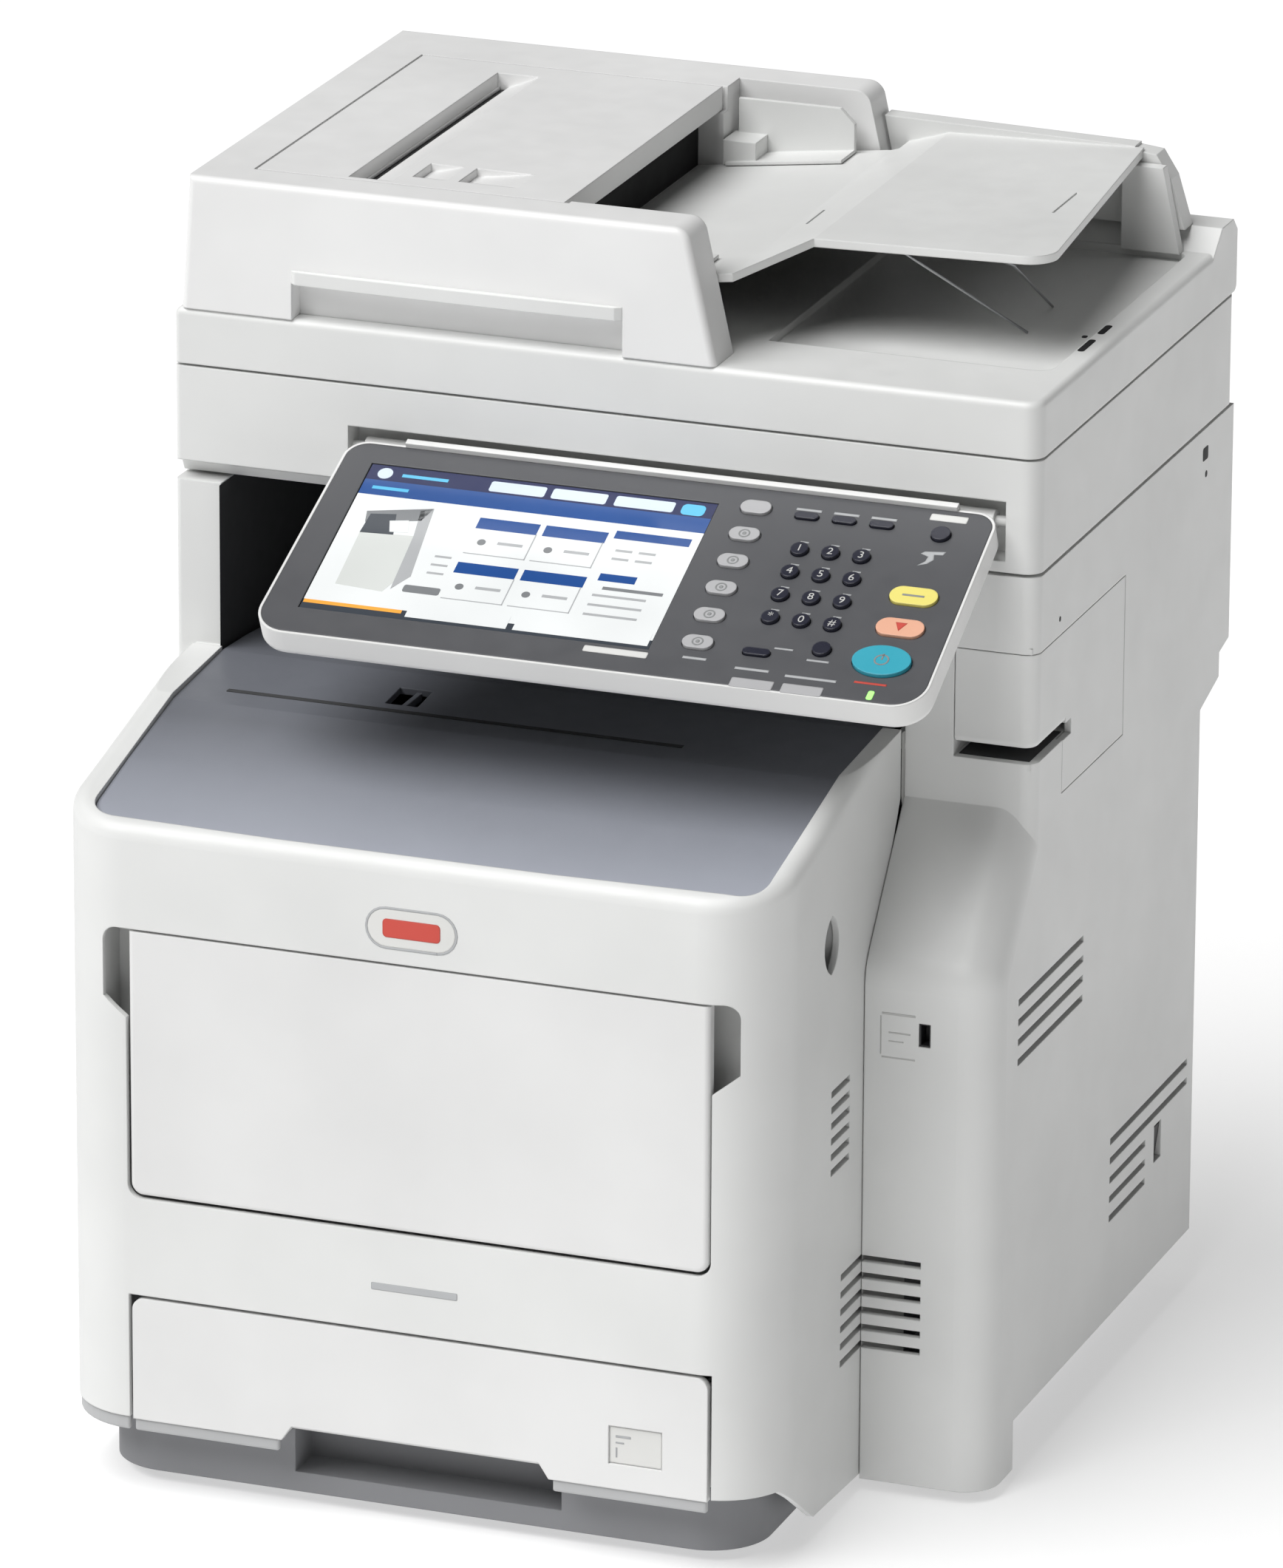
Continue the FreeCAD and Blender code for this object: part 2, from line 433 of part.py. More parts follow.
def output_tray():
    """Grey top cover of the engine: a sheet that rises to the rear, dips, and drops to its hinge."""
    upper = [("tray_front", "rim_front_z-sink"), ("rim_mid_y", "rim_mid_z-sink-1"),
             ("rim_high_y", "rim_high_z-sink-2"), ("rim_rear_y", "rim_rear_z-sink-1"),
             ("tray_dip_y", "tray_dip_z"), ("tray_rear", "tray_rear_z")]
    lower = [(y, f"{z}-tray_thick") for y, z in reversed(upper)]
    plate = prism("tray_plate", "YZ", upper + lower, "tray_left", "tray_right")
    corners = prism("tray_outline", "XY", tray_outline("0") + [("tray_right", "tray_rear"), ("tray_left", "tray_rear")],
                    "rim_front_z-30", "rim_rear_z+over", [(tray_corners, "tray_corner")])
    groove = box("tray_step", ("step_left", "step_right"), ("step_y-step_width", "step_y"), ("step_floor", "rim_rear_z+over"))
    notch = box("tray_notch", ("finger_left", "finger_right"), ("step_y+8", "step_y+32"), ("step_floor", "rim_rear_z+over"))
    fin = box("tray_notch_fin", ("finger_left+10", "finger_left+13"), ("step_y+7", "step_y+33"),
              ("step_floor-1", "finger_fin_top"))
    barrel = rod("tray_barrel", "X", ("tray_left+8", "tray_axis_y", "tray_axis_z"), "barrel_radius",
                 "tray_right-tray_left-16")
    grooved = cut("tray_grooved", fuse("tray_with_barrel", common("tray_sheet", plate, corners), barrel), groove, notch)
    return node("output_tray", fuse("output_tray_set", grooved, fin))


def paper_cassette():
    front = prism("cassette_front", "XZ", [
        ("cassette_left", "cassette_low"), ("notch_left", "cassette_low"), ("notch_left+6", "notch_top"),
        ("notch_right-6", "notch_top"), ("notch_right", "cassette_low"), ("cassette_right", "cassette_low"),
        ("cassette_right", "cassette_top"), ("cassette_left", "cassette_top")],
        "front_y", "front_y+bin_inset", [(edges_at("Y", "high"), "cassette_corner")])
    bin_block = box("cassette_bin", ("cassette_left+bin_inset", "cassette_right-bin_inset"),
                    ("front_y+bin_inset", "cassette_rear"), ("cassette_low+1", "bin_top"))
    room = box("cassette_room", ("cassette_left+bin_inset+skin", "cassette_right-bin_inset-skin"),
               ("front_y+bin_inset+skin", "cassette_rear-skin"), ("cassette_low+4", "bin_top+over"))
    hand = box("cassette_hand_room", ("notch_left", "notch_right"), ("front_y+bin_inset", "front_y+bin_inset+12"),
               ("cassette_low-over", "notch_top"))
    label = box("cassette_label", ("label_left", "label_right"), ("front_y-over", "front_y+label_depth"),
                ("label_low", "label_high"))
    shelf = box("cassette_hand_wall", ("notch_left-skin", "notch_right+skin"),
                ("front_y+bin_inset", "front_y+bin_inset+15"), ("cassette_low+1", "notch_top+skin"))
    walls = fuse("cassette_walls", front, cut("cassette_hollow", bin_block, room), shelf)
    return node("paper_cassette", cut("paper_cassette_cut", walls, hand, label))


def lift_plate():
    side = ("cassette_left+bin_inset+6", "cassette_right-bin_inset-6")
    return node("lift_plate", box("lift_sheet", side, ("lift_front", "lift_rear"), ("lift_low", "lift_low+lift_thick")))


def overhang(shift):
    """Corners of the stepped rear end, moved forward by shift, from the bottom of the step upwards."""
    return [(f"body_rear-{shift}", "overhang_low"), (f"overhang_y-{shift}", "overhang_mid"),
            (f"overhang_y-{shift}", "overhang_ledge"), (f"rear_y-{shift}", "overhang_high")]


def box_bend(edge, shape):
    """The edge across the interface box where its front turns into the slope."""
    limit, spot = shape.BoundBox, edge.BoundBox.Center
    return runs_along(edge, "X") and abs(spot.y - limit.YMin) < 0.01 and abs(spot.z - DIMS["slope_low_z"]) < 3


def right_cover():
    shell = prism("right_shell", "YZ", [
        ("box_front", "box_low"), ("box_front", "slope_low_z"), ("column_front", "slope_high_z"),
        ("column_front", "column_top"), ("rear_y", "column_top")] + overhang(0)[::-1] + [
        ("body_rear", "side_low"), ("side_step", "side_low"), ("side_step", "box_low")],
        "column_left", "half_width", [
        (box_bend, "box_bend"),
        (edges_at("Z", "right", "front"), "box_corner"),
        (lambda edge, shape: runs_along(edge, "Z") and abs(edge.BoundBox.XMax - DIMS["half_width"]) < 0.01
         and abs(edge.BoundBox.YMin - DIMS["column_front"]) < 0.01, "column_corner")])
    low_room = prism("right_low_room", "YZ", [
        ("box_front+wall", "-over"), ("box_front+wall", "slope_low_z-1.5"), ("column_front+wall", "slope_high_z-1.5"),
        ("column_front+wall", "slot_low"), ("rear_y+over", "slot_low"), ("rear_y+over", "-over")],
        "column_left-over", "side_wall", [
        (box_bend, "box_bend-wall"),
        (edges_at("Z", "right", "front"), "box_corner-wall")])
    high_room = box("right_high_room", ("column_left+wall", "side_wall"), ("column_front+wall", "rear_y+over"),
                    ("slot_low-over", "column_top-wall"))
    rear_room = box("right_rear_room", ("column_left-over", "side_wall"), ("frame_rear+2", "rear_y+over"),
                    ("slot_low-over", "column_top-wall"))
    mouth = box("stapler_mouth", ("stapler_left-seam", "half_width+over"), ("column_front-over", "slot_rear"),
                ("slot_low", "stapler_high+seam"))
    behind = box("stapler_behind", ("stapler_left-seam", "side_wall+seam"), ("slot_rear-over", "stapler_block_rear+3"),
                 ("slot_low+8", "stapler_high+seam"))
    door_gap = box("stapler_door_gap", ("side_wall-seam", "half_width+over"), ("stapler_step-seam", "stapler_rear+1"),
                   ("stapler_panel_low-seam", "stapler_high+seam"))
    lining = [
        box("stapler_floor", ("column_left+1", "side_wall+1"), ("column_front+1", "stapler_block_rear+5"),
            ("slot_low-wall", "slot_low")),
        box("stapler_side", ("stapler_left-wall", "stapler_left-seam"), ("column_front+1", "stapler_block_rear+5"),
            ("slot_low-1", "stapler_high+wall")),
        box("stapler_roof", ("stapler_left-wall", "side_wall+1"), ("column_front+1", "stapler_block_rear+5"),
            ("stapler_high+seam", "stapler_high+wall")),
    ]
    side = ("side_wall-1", "half_width+1")
    grilles = slats("upper_grille", 4, side, ("upper_grille_front", "upper_grille_back"), "upper_grille_low",
                    "grille_pitch", "grille_height")
    grilles += slats("lower_grille", 3, side, ("lower_grille_front", "lower_grille_back"), "lower_grille_low",
                     "grille_pitch", "grille_height")
    grilles += slats("far_grille", 2, side, ("lower_grille_front", "lower_grille_far"),
                     "lower_grille_low+3*grille_pitch", "grille_pitch", "grille_height")
    louvres = slats("box_louvre", 6, ("column_left-over", "louvre_right"), ("box_front-1", "box_front+wall+1"),
                    "louvre_low", "louvre_pitch", "louvre_height")
    usb = box("usb_hole", ("usb_x-usb_half_x", "usb_x+usb_half_x"), ("box_front-1", "box_front+wall+1"),
              ("usb_z-usb_half_z", "usb_z+usb_half_z"))
    switch = box("switch_hole", side, ("switch_y-switch_half_y-switch_gap", "switch_y+switch_half_y+switch_gap"),
                 ("switch_z-switch_half_z-switch_gap", "switch_z+switch_half_z+switch_gap"))
    ledge = box("right_tray_ledge", ("tray_right+1", "column_left+1"), ("column_front", "cavity_rear-sheet-1"),
                ("ledge_low", "ledge_low+skin"))
    gusset = common("right_gusset", shell, box(
        "right_gusset_block", ("side_wall-box_corner", "half_width"), ("column_front-6", "column_front+12"),
        ("slope_high_z-14", "slope_high_z+8")))
    hollow = cut("right_walls", shell, low_room, high_room, rear_room)
    lined = cut("right_bay", fuse("right_lined", hollow, gusset, ledge, *lining), mouth, behind, door_gap)
    return node("right_cover", cut("right_cover_cut", lined, usb, switch, *grilles, *louvres))


def stapler_cover():
    block = prism("stapler_block", "XZ", [
        ("stapler_left", "stapler_low"), ("half_width", "stapler_low"), ("half_width", "stapler_high"),
        ("stapler_left", "stapler_high")], "column_front", "stapler_block_rear",
        [(edges_at("Z", "right", "front"), "column_corner"), (edges_at("X", "front", "low"), "stapler_edge")])
    room = box("stapler_room", ("stapler_left+skin", "side_wall"), ("column_front+skin", "stapler_block_rear+over"),
               ("stapler_low+skin", "stapler_high-skin"))
    panel = prism("stapler_panel", "YZ", [
        ("slot_rear", "stapler_low"), ("slot_rear-10", "stapler_low"), ("slot_rear-10", "stapler_high"),
        ("stapler_rear", "stapler_high"), ("stapler_rear", "stapler_panel_low"), ("stapler_step", "stapler_panel_low"),
        ("stapler_step", "slot_low-seam"), ("slot_rear", "slot_low-seam")],
        "side_wall", "half_width")
    return node("stapler_cover", fuse("stapler_cover_set", cut("stapler_shell", block, room), panel))


def left_cover():
    panel = prism("left_panel", "YZ", [
        ("left_front", "skirt_low+over"), ("left_front", "slope_low_z"), ("rim_rear_y+2.5", "slope_high_z-2"),
        ("rim_rear_y+2.5", "left_column_low"), ("rear_y", "left_column_low")] + overhang(0)[::-1] + [
        ("body_rear", "skirt_low+over")], "unit_left", "unit_left+wall")
    column = prism("left_column", "XY", [
        ("-half_width", "column_front"), ("left_column_inner", "column_front"), ("left_column_inner", "rear_y"),
        ("-half_width", "rear_y")], "left_column_low", "column_top", [
        (edges_at("Z", "left", "front"), "left_corner")])
    room = box("left_column_room", ("skin-half_width", "left_column_inner-skin"),
               ("column_front+skin", "rear_y-skin"), ("left_column_low+skin", "column_top-skin"))
    ledge = box("left_tray_ledge", ("unit_left+wall-1", "tray_left-1"), ("column_front", "cavity_rear-sheet-1"),
                ("ledge_low", "ledge_low+skin"))
    shoulder = box("left_shoulder", ("unit_left", "left_column_inner"), ("rim_rear_y+1.5", "column_front+skin"),
                   ("left_column_low-6", "rim_rear_z-1"))
    return node("left_cover", fuse("left_cover_set", panel, ledge, shoulder, cut("left_column_hollow", column, room)))


def rear_cover():
    outer = [("body_rear-skin", "side_low"), ("body_rear", "side_low")] + overhang(0)
    inner = overhang("skin")[::-1]
    skin = prism("rear_skin", "YZ", outer + [("rear_y", "column_top-wall-seam"),
                 ("rear_y-skin", "column_top-wall-seam")] + inner, "unit_left+wall+seam", "column_left-seam")
    far = prism("rear_far_skin", "YZ", outer + [("rear_y", "column_top-wall-seam"),
                ("rear_y-skin", "column_top-wall-seam")] + inner, "column_left-seam-1", "side_wall-seam")
    column_slot = box("rear_left_column_room", ("-half_width", "left_column_inner+seam"),
                      ("body_rear-10", "rear_y+over"), ("left_column_low-seam", "column_top"))
    inlet = box("inlet_hole", ("inlet_x-inlet_half_x", "inlet_x+inlet_half_x"), ("body_rear-skin-1", "body_rear+1"),
                ("inlet_z-inlet_half_z", "inlet_z+inlet_half_z"))
    ports = [box(f"port_hole_{i}", (f"port_x-port_half+{i}*port_pitch", f"port_x+port_half+{i}*port_pitch"),
                 ("body_rear-skin-1", "body_rear+1"), ("port_z-port_half", "port_z+port_half")) for i in range(2)]
    return node("rear_cover", cut("rear_cover_cut", fuse("rear_skins", skin, far), column_slot, inlet, *ports))


def connectors():
    """Sockets that show through the covers: one on the interface box, three at the rear."""
    def socket(name, x, y, z, room_x, room_y, room_z):
        return cut(name, box(name + "_block", x, y, z), box(name + "_room", room_x, room_y, room_z))
    usb = socket("usb_socket", ("usb_x-usb_half_x", "usb_x+usb_half_x"), ("box_front+1", "box_front+usb_depth"),
                 ("usb_z-usb_half_z", "usb_z+usb_half_z"), ("usb_x-usb_half_x+1", "usb_x+usb_half_x-1"),
                 ("box_front", "box_front+usb_depth-2"), ("usb_z-usb_half_z+1", "usb_z+usb_half_z-1"))
    inlet = socket("inlet_socket", ("inlet_x-inlet_half_x", "inlet_x+inlet_half_x"), ("frame_rear", "body_rear-0.5"),
                   ("inlet_z-inlet_half_z", "inlet_z+inlet_half_z"),
                   ("inlet_x-inlet_half_x+2", "inlet_x+inlet_half_x-2"), ("frame_rear+2", "body_rear+1"),
                   ("inlet_z-inlet_half_z+2", "inlet_z+inlet_half_z-2"))
    ports = []
    for i in range(2):
        middle = f"port_x+{i}*port_pitch"
        ports.append(socket(f"port_socket_{i}", (f"{middle}-port_half", f"{middle}+port_half"),
                            ("frame_rear", "body_rear-0.5"), ("port_z-port_half", "port_z+port_half"),
                            (f"{middle}-port_half+1.5", f"{middle}+port_half-1.5"), ("frame_rear+2", "body_rear+1"),
                            ("port_z-port_half+1.5", "port_z+port_half-1.5")))
    return node("connectors", fuse("connectors_set", usb, inlet, *ports))


def power_switch():
    """Rocker: a wedge that tips about a pin across its back."""
    rocker = prism("rocker", "XZ", [
        ("switch_pivot_x-2", "switch_z-4"), ("half_width-3.5", "switch_z-switch_half_z"),
        ("half_width-2", "switch_z"), ("half_width-0.8", "switch_z+switch_half_z-1"),
        ("switch_pivot_x-2", "switch_z+4")], "switch_y-switch_half_y", "switch_y+switch_half_y")
    return node("power_switch", rocker)


# ---------------------------------------------------------------- scanner and lid

def scanner_housing():
    shell = prism("scanner_shell", "XY", [
        ("-half_width", "column_front"), ("half_width", "column_front"), ("half_width", "rear_y"),
        ("-half_width", "rear_y")], "scanner_low", "scanner_top", [
        (edges_at("Z", "right"), "scanner_corner"),
        (edges_at("Z", "left"), "left_corner")])
    room = box("scanner_room", ("wall-half_width", "half_width-wall"), ("channel_rear+skin", "rear_y-wall"),
               ("scanner_low+skin", "scanner_top-wall-glass_thick"))
    bed = box("scanner_bed", ("-glass_half-1", "glass_half+1"), ("glass_front-1", "glass_rear+1"),
              ("scanner_top-glass_thick", "scanner_top+over"))
    window = box("scanner_window", ("glass_ledge-glass_half", "glass_half-glass_ledge"),
                 ("glass_front+glass_ledge", "glass_rear-glass_ledge"), ("scanner_top-20", "scanner_top+over"))
    channel = box("scanner_channel", ("channel_left", "channel_right"), ("column_front-over", "channel_rear"),
                  ("channel_low", "channel_high"))
    toe = prism("scanner_toe", "YZ", [
        ("column_front-over", "scanner_low-over"), ("column_front+14", "scanner_low-over"),
        ("column_front+10", "scanner_low+6"), ("column_front-over", "channel_low+4")],
        "-half_width-over", "column_left")
    pin = rod("scanner_panel_pin", "X", ("channel_left-1", "panel_y+hinge_up*cos(panel_tilt)-hinge_down*sin(panel_tilt)",
              "panel_z+hinge_up*sin(panel_tilt)+hinge_down*cos(panel_tilt)"), "hinge_pin", "channel_right-channel_left+2")
    rail = rod("scanner_rail", "X", ("wall-half_width-1", "60", "rail_z"), "rail_radius", "2*half_width-2*wall+2")
    walls = cut("scanner_walls", shell, room, bed, window, channel, toe)
    return node("scanner_housing", fuse("scanner_with_rods", walls, rail, pin))


def platen_glass():
    return node("platen_glass", box("glass_sheet", ("-glass_half", "glass_half"), ("glass_front", "glass_rear"),
                                    ("scanner_top-glass_thick", "scanner_top-0.1")))


def scan_carriage():
    x = ("carriage_left", "carriage_left+carriage_width")
    beam = box("carriage_beam", x, ("glass_front+12", "glass_rear-12"), ("carriage_low", "carriage_high"))
    shoe = box("carriage_shoe", x, (46, 74), ("carriage_low-13", "carriage_low"))
    bore = rod("carriage_bore", "X", ("carriage_left-over", "60", "rail_z"), "rail_radius+running",
               "carriage_width+2*over")
    lamp = box("carriage_lamp", ("carriage_left+14", "carriage_left+14+lamp_width"),
               ("glass_front+20", "glass_rear-20"), ("carriage_high-lamp_depth", "carriage_high+over"))
    return node("scan_carriage", cut("scan_carriage_cut", fuse("carriage_solid", beam, shoe), bore, lamp))


def platen_lid():
    shell = prism("lid_shell", "YZ", [
        ("column_front", "lid_low"), ("rear_y", "lid_low"), ("rear_y", "bulge_top-8"),
        ("rear_y-8", "bulge_top"), ("bulge_front+14", "bulge_top"), ("bulge_front", "lid_top"),
        ("column_front", "lid_top")], "-half_width", "half_width", [
        (edges_at("Z", "front", "right"), "lid_corner"),
        (edges_at("Z", "front", "left"), "left_corner"),
        (edges_at("X", "rear", "low"), "hinge_inset-0.1"),
        (lambda edge, shape: edge.BoundBox.ZMin > DIMS["lid_top"] - 1 and edge.BoundBox.YMax < DIMS["bulge_front"] + 1
         and edge.BoundBox.YMin < 0 and edge.BoundBox.YMax < 0, "lid_front_edge")])
    pad_room = box("lid_pad_room", ("-pad_half-1", "pad_half+1"), ("pad_front-1", "pad_rear+1"),
                   ("lid_low-over", "pad_high"))
    pockets = []
    for column in range(3):
        for line in range(2):
            left = f"-pad_half+rib+{column}*pad_half*2/3"
            front = f"pad_front+rib+{line}*(pad_rear-pad_front)/2"
            pockets.append(box(f"lid_pocket_{column}{line}", (left, f"{left}+pad_half*2/3-rib*2"),
                               (front, f"{front}+(pad_rear-pad_front)/2-rib*2"), ("lid_low", "pocket_top")))
    catch = prism("lid_catch", "XY", [
        ("catch_left", "catch_front"), ("catch_right", "catch_front"), ("catch_right", "catch_rear"),
        ("catch_left", "catch_rear")], "catch_floor", "bulge_top+over",
        [(edges_at("Z", "right"), "lid_corner")])
    return node("platen_lid", cut("platen_lid_cut", shell, pad_room, catch, *pockets))


def backing_pad():
    return node("backing_pad", box("pad_sheet", ("-pad_half", "pad_half"), ("pad_front", "pad_rear"),
                                   ("pad_low", "pad_high")))


# ---------------------------------------------------------------- document feeder

def feeder_body():
    outer = prism("feeder_outer", "XZ", [
        ("feeder_left", "lid_top"), ("feeder_low_right", "lid_top"), ("feeder_high_right", "feeder_top"),
        ("feeder_left+5", "feeder_top")],
        "feeder_front", "feeder_rear", [
        (lambda edge, shape: runs_along(edge, "Y") and edge.BoundBox.ZMin > DIMS["feeder_top"] - 0.01
         and edge.BoundBox.XMin > 0, "feeder_shoulder"),
        (lambda edge, shape: abs(edge.BoundBox.YMin - DIMS["feeder_front"]) < 0.01
         and abs(edge.BoundBox.YMax - DIMS["feeder_front"]) < 0.01 and edge.BoundBox.ZMax > DIMS["lid_top"] + 1,
         "feeder_edge")])
    rest = box("feeder_bulge_room", ("feeder_left-over", "feeder_low_right+over"), ("bulge_front-seam", "rear_y"),
               ("lid_top-over", "bulge_top+seam"))
    bay = box("feeder_bay", ("bay_left+ledge_width", "bay_right+over"), ("cheek_rear", "bay_rear"),
              ("bay_floor", "feeder_top+over"))
    seat = box("feeder_cover_seat", ("bay_left", "bay_right"), ("cover_front-1", "cover_rear+1"),
               ("ledge_top", "feeder_top+over"))
    right_room = box("feeder_right_room", ("bay_right", "feeder_low_right+over"), ("cheek_rear", "ridge_front"),
                     ("lid_top-over", "feeder_top+over"))
    exit_slot = box("feeder_exit", ("exit_slot_left", "bay_right+over"), ("cheek_rear+6", "bay_rear-6"),
                    ("exit_slot_low", "exit_slot_high"))
    handle = box("feeder_handle", ("handle_left", "handle_right"), ("feeder_front-over", "feeder_front+handle_depth"),
                 ("lid_top-over", "handle_high"))
    bore = rod("feeder_bore", "Y", ("feed_shaft_x", "cheek_rear-bearing", "feed_shaft_z"), "feed_shaft+running",
               "bay_rear-cheek_rear+2*bearing")
    return node("feeder_body", cut("feeder_body_cut", outer, rest, bay, seat, right_room, exit_slot, handle, bore))


def feeder_cover():
    shell = box("feeder_cover_block", ("cover_left", "cover_right"), ("cover_front", "cover_rear"),
                ("cover_low", "feeder_top"))
    room = box("feeder_cover_room", ("cover_left+skin", "cover_right-skin"), ("cover_front+skin", "cover_rear-skin"),
               ("cover_low-over", "feeder_top-cover_skin"))
    well_outer = prism("well_outer", "XZ", [
        ("well_left-2", "feeder_top-1"), ("well_left-2", "well_floor-2"), ("well_slot+2", "well_floor-2"),
        ("well_right+4", "feeder_top-1")], "well_front-2", "well_back+2")
    well = prism("well_inner", "XZ", [
        ("well_left", "feeder_top+over"), ("well_left", "well_floor"), ("well_slot", "well_floor"),
        ("well_right", "feeder_top"), ("well_right", "feeder_top+over")],
        "well_front", "well_back")
    slot = box("well_slot_hole", ("well_left+1.5", "well_slot"), ("well_front", "well_back"),
               ("cover_low-over", "feeder_top"))
    icon_block = box("icon_block", (-134, -66), ("icon_front-2", "icon_rear+2"), ("icon_floor", "feeder_top-1"))
    icons = [prism(f"icon_{i}", "XZ", [
        (left, "feeder_top-icon_depth"), (right, "feeder_top"), (right, "feeder_top+over"),
        (left, "feeder_top+over")], "icon_front", "icon_rear") for i, (left, right) in enumerate(((-132, -111), (-104, -68)))]
    built = fuse("feeder_cover_built", cut("feeder_cover_shell", shell, room), well_outer, icon_block)
    return node("feeder_cover", cut("feeder_cover_cut", built, well, slot, *icons))


def release_lever():
    """Long bar lying in the well of the feeder cover."""
    return node("release_lever", box("release_bar", ("release_x-release_width/2", "release_x+release_width/2"),
                                     ("well_front+2", "well_back-2"), ("release_low", "release_high")))


def feed_roller():
    shaft = rod("feed_shaft_rod", "Y", ("feed_shaft_x", "cheek_rear-bearing+1", "feed_shaft_z"), "feed_shaft",
                "bay_rear-cheek_rear+2*bearing-2")
    tyres = [rod(f"feed_tyre_{i}", "Y", ("feed_shaft_x", f"60+{i}*50", "feed_shaft_z"), "feed_radius", "26")
             for i in range(2)]
    return node("feed_roller", fuse("feed_roller_set", shaft, *tyres))


def document_tray():
    top = [("plate_left", "plate_left_z"), ("plate_bend_x", "plate_bend_z"), ("plate_flat_x", "plate_flat_z"),
           ("plate_right", "plate_right_z")]
    bottom = [(x, f"{z}-plate_thick") for x, z in reversed(top)]
    sheet_body = prism("plate_sheet", "XZ", top + bottom, "plate_front", "fence_front+1")
    outline = prism("plate_outline", "XY", [
        ("plate_left", "plate_front"), ("plate_bend_x", "plate_front"), ("plate_flat_x", "plate_step_y"),
        ("plate_right", "plate_step_y"), ("plate_right-plate_taper", "feeder_rear"), ("plate_bend_x+4.5", "feeder_rear"),
        ("plate_bend_x+4.5", "plate_rear"), ("bay_right+2", "plate_rear"), ("bay_right+2", "bay_rear-over"),
        ("plate_left", "bay_rear-over")],
        "plate_left_z-20", "plate_right_z+over", [
        (lambda edge, shape: runs_along(edge, "Z") and abs(edge.BoundBox.XMin - DIMS["plate_right"]) < 0.01
         and edge.BoundBox.YMin < DIMS["plate_step_y"] + 1, "plate_corner")])
    fence = prism("plate_fence", "XZ", [
        ("fence_left", "bulge_top+seam"), ("fence_right", "bulge_top+seam"), ("fence_right", "fence_top-3"),
        ("fence_left-fence_lean", "fence_top")], "fence_front", "feeder_rear")
    post = prism("plate_post", "XZ", [
        ("post_left", "bulge_top+seam"), ("post_low_right", "bulge_top+seam"), ("post_high_right+3", "fence_top-20"),
        ("post_high_right-6", "fence_top-6"), ("post_left", "fence_top-4")], "post_front+9", "feeder_rear")
    leg = prism("plate_leg", "XZ", [
        ("post_left", "lid_top"), ("post_low_right", "lid_top"), ("post_high_right+1", "plate_right_z-8"),
        ("post_left", "plate_right_z-8")], "post_front", "bulge_front-seam")
    marks = [box(f"size_mark_{i}", (x, x + 1.2), (y, y + 44), ("plate_right_z-20", "plate_right_z+over"))
             for i, (x, y) in enumerate(((208.0, 104.0),))]
    plate = common("plate_trimmed", sheet_body, outline)
    groove_floor = box("size_mark_keep", (200, 216), (90, 160), ("plate_right_z-20", "plate_right_z-1.6"))
    return node("document_tray", fuse("document_tray_set", cut("plate_marked", plate, cut(
        "size_mark_tool", marks[0], groove_floor)), fence, post, leg))


def guide(label, plate_y, foot_y, top, end):
    """Side guide: an upright with a foot that floats just above the sloping tray."""
    rise = "(plate_bend_z-plate_left_z)/(plate_bend_x-plate_left)"

    def surface(x, extra):
        return f"plate_left_z+({x}-plate_left)*{rise}+guide_float+{extra}"
    low = [("guide_left", surface("guide_left", 0)), ("guide_right", surface("guide_right", 0))]
    foot = prism(label + "_foot", "XZ", low + [
        ("guide_right", surface("guide_right", "guide_foot_thick")),
        ("guide_left", surface("guide_left", "guide_foot_thick"))], *foot_y)
    upright = prism(label + "_upright", "XZ", low + [
        ("guide_right", f"{top}-{end}"), (f"guide_right-{end}", top), ("guide_left", top)], *plate_y)
    return fuse(label + "_set", foot, upright)


def rear_guide():
    """The tall guide, with a block to pinch at its lower end."""
    pinch = prism("rear_guide_pinch", "XZ", [
        ("pinch_left", "plate_bend_z-11"), ("pinch_right", "plate_bend_z-8.5"), ("pinch_right", "pinch_top"),
        ("pinch_left", "pinch_top")], "pinch_front", "guide_rear_y-1")
    return node("rear_guide", fuse("rear_guide_pinched", guide(
        "rear_guide", ("guide_rear_y-guide_thick", "guide_rear_y"), ("guide_rear_y-guide_foot", "guide_rear_y-1"),
        "guide_top", "guide_end"), pinch))


def front_guide():
    return node("front_guide", guide(
        "front_guide", ("guide_front_y", "guide_front_y+guide_thick"), ("guide_front_y+1", "guide_front_y+guide_foot"),
        "guide_low_top", "guide_low_end"))


# ---------------------------------------------------------------- operator panel

KEYS = {}
for line in range(6):
    KEYS[f"function_key_{line + 1}"] = ("pad", 99.5 + 0.7 * line, -18.2 - 22.8 * line, 18.0, 10.5)
for place in range(3):
    KEYS[f"mode_key_{place + 1}"] = ("pad", 130.4 + 22.3 * place, -20.3, 14.0, 5.0)
for count, name in enumerate(("1", "2", "3", "4", "5", "6", "7", "8", "9", "star", "0", "hash")):
    KEYS[f"digit_key_{name}"] = ("dome", 135.4 + 18.3 * (count % 3) + 0.5 * (count // 3), -48.2 - 19.1 * (count // 3),
                                 10.0, 10.0)
KEYS["job_key"] = ("pad", 138.2, -134.3, 16.0, 5.5)
KEYS["clear_key"] = ("dome", 174.0, -126.0, 10.5, 10.5)
KEYS["energy_key"] = ("dome", 210.8, -22.6, 11.0, 11.0)
KEYS["reset_key"] = ("pad", 211.7, -75.2, 28.0, 14.0)
KEYS["stop_key"] = ("pad", 212.2, -101.6, 28.0, 14.0)
KEYS["start_key"] = ("oval", 210.6, -130.0, 34.0, 24.0)


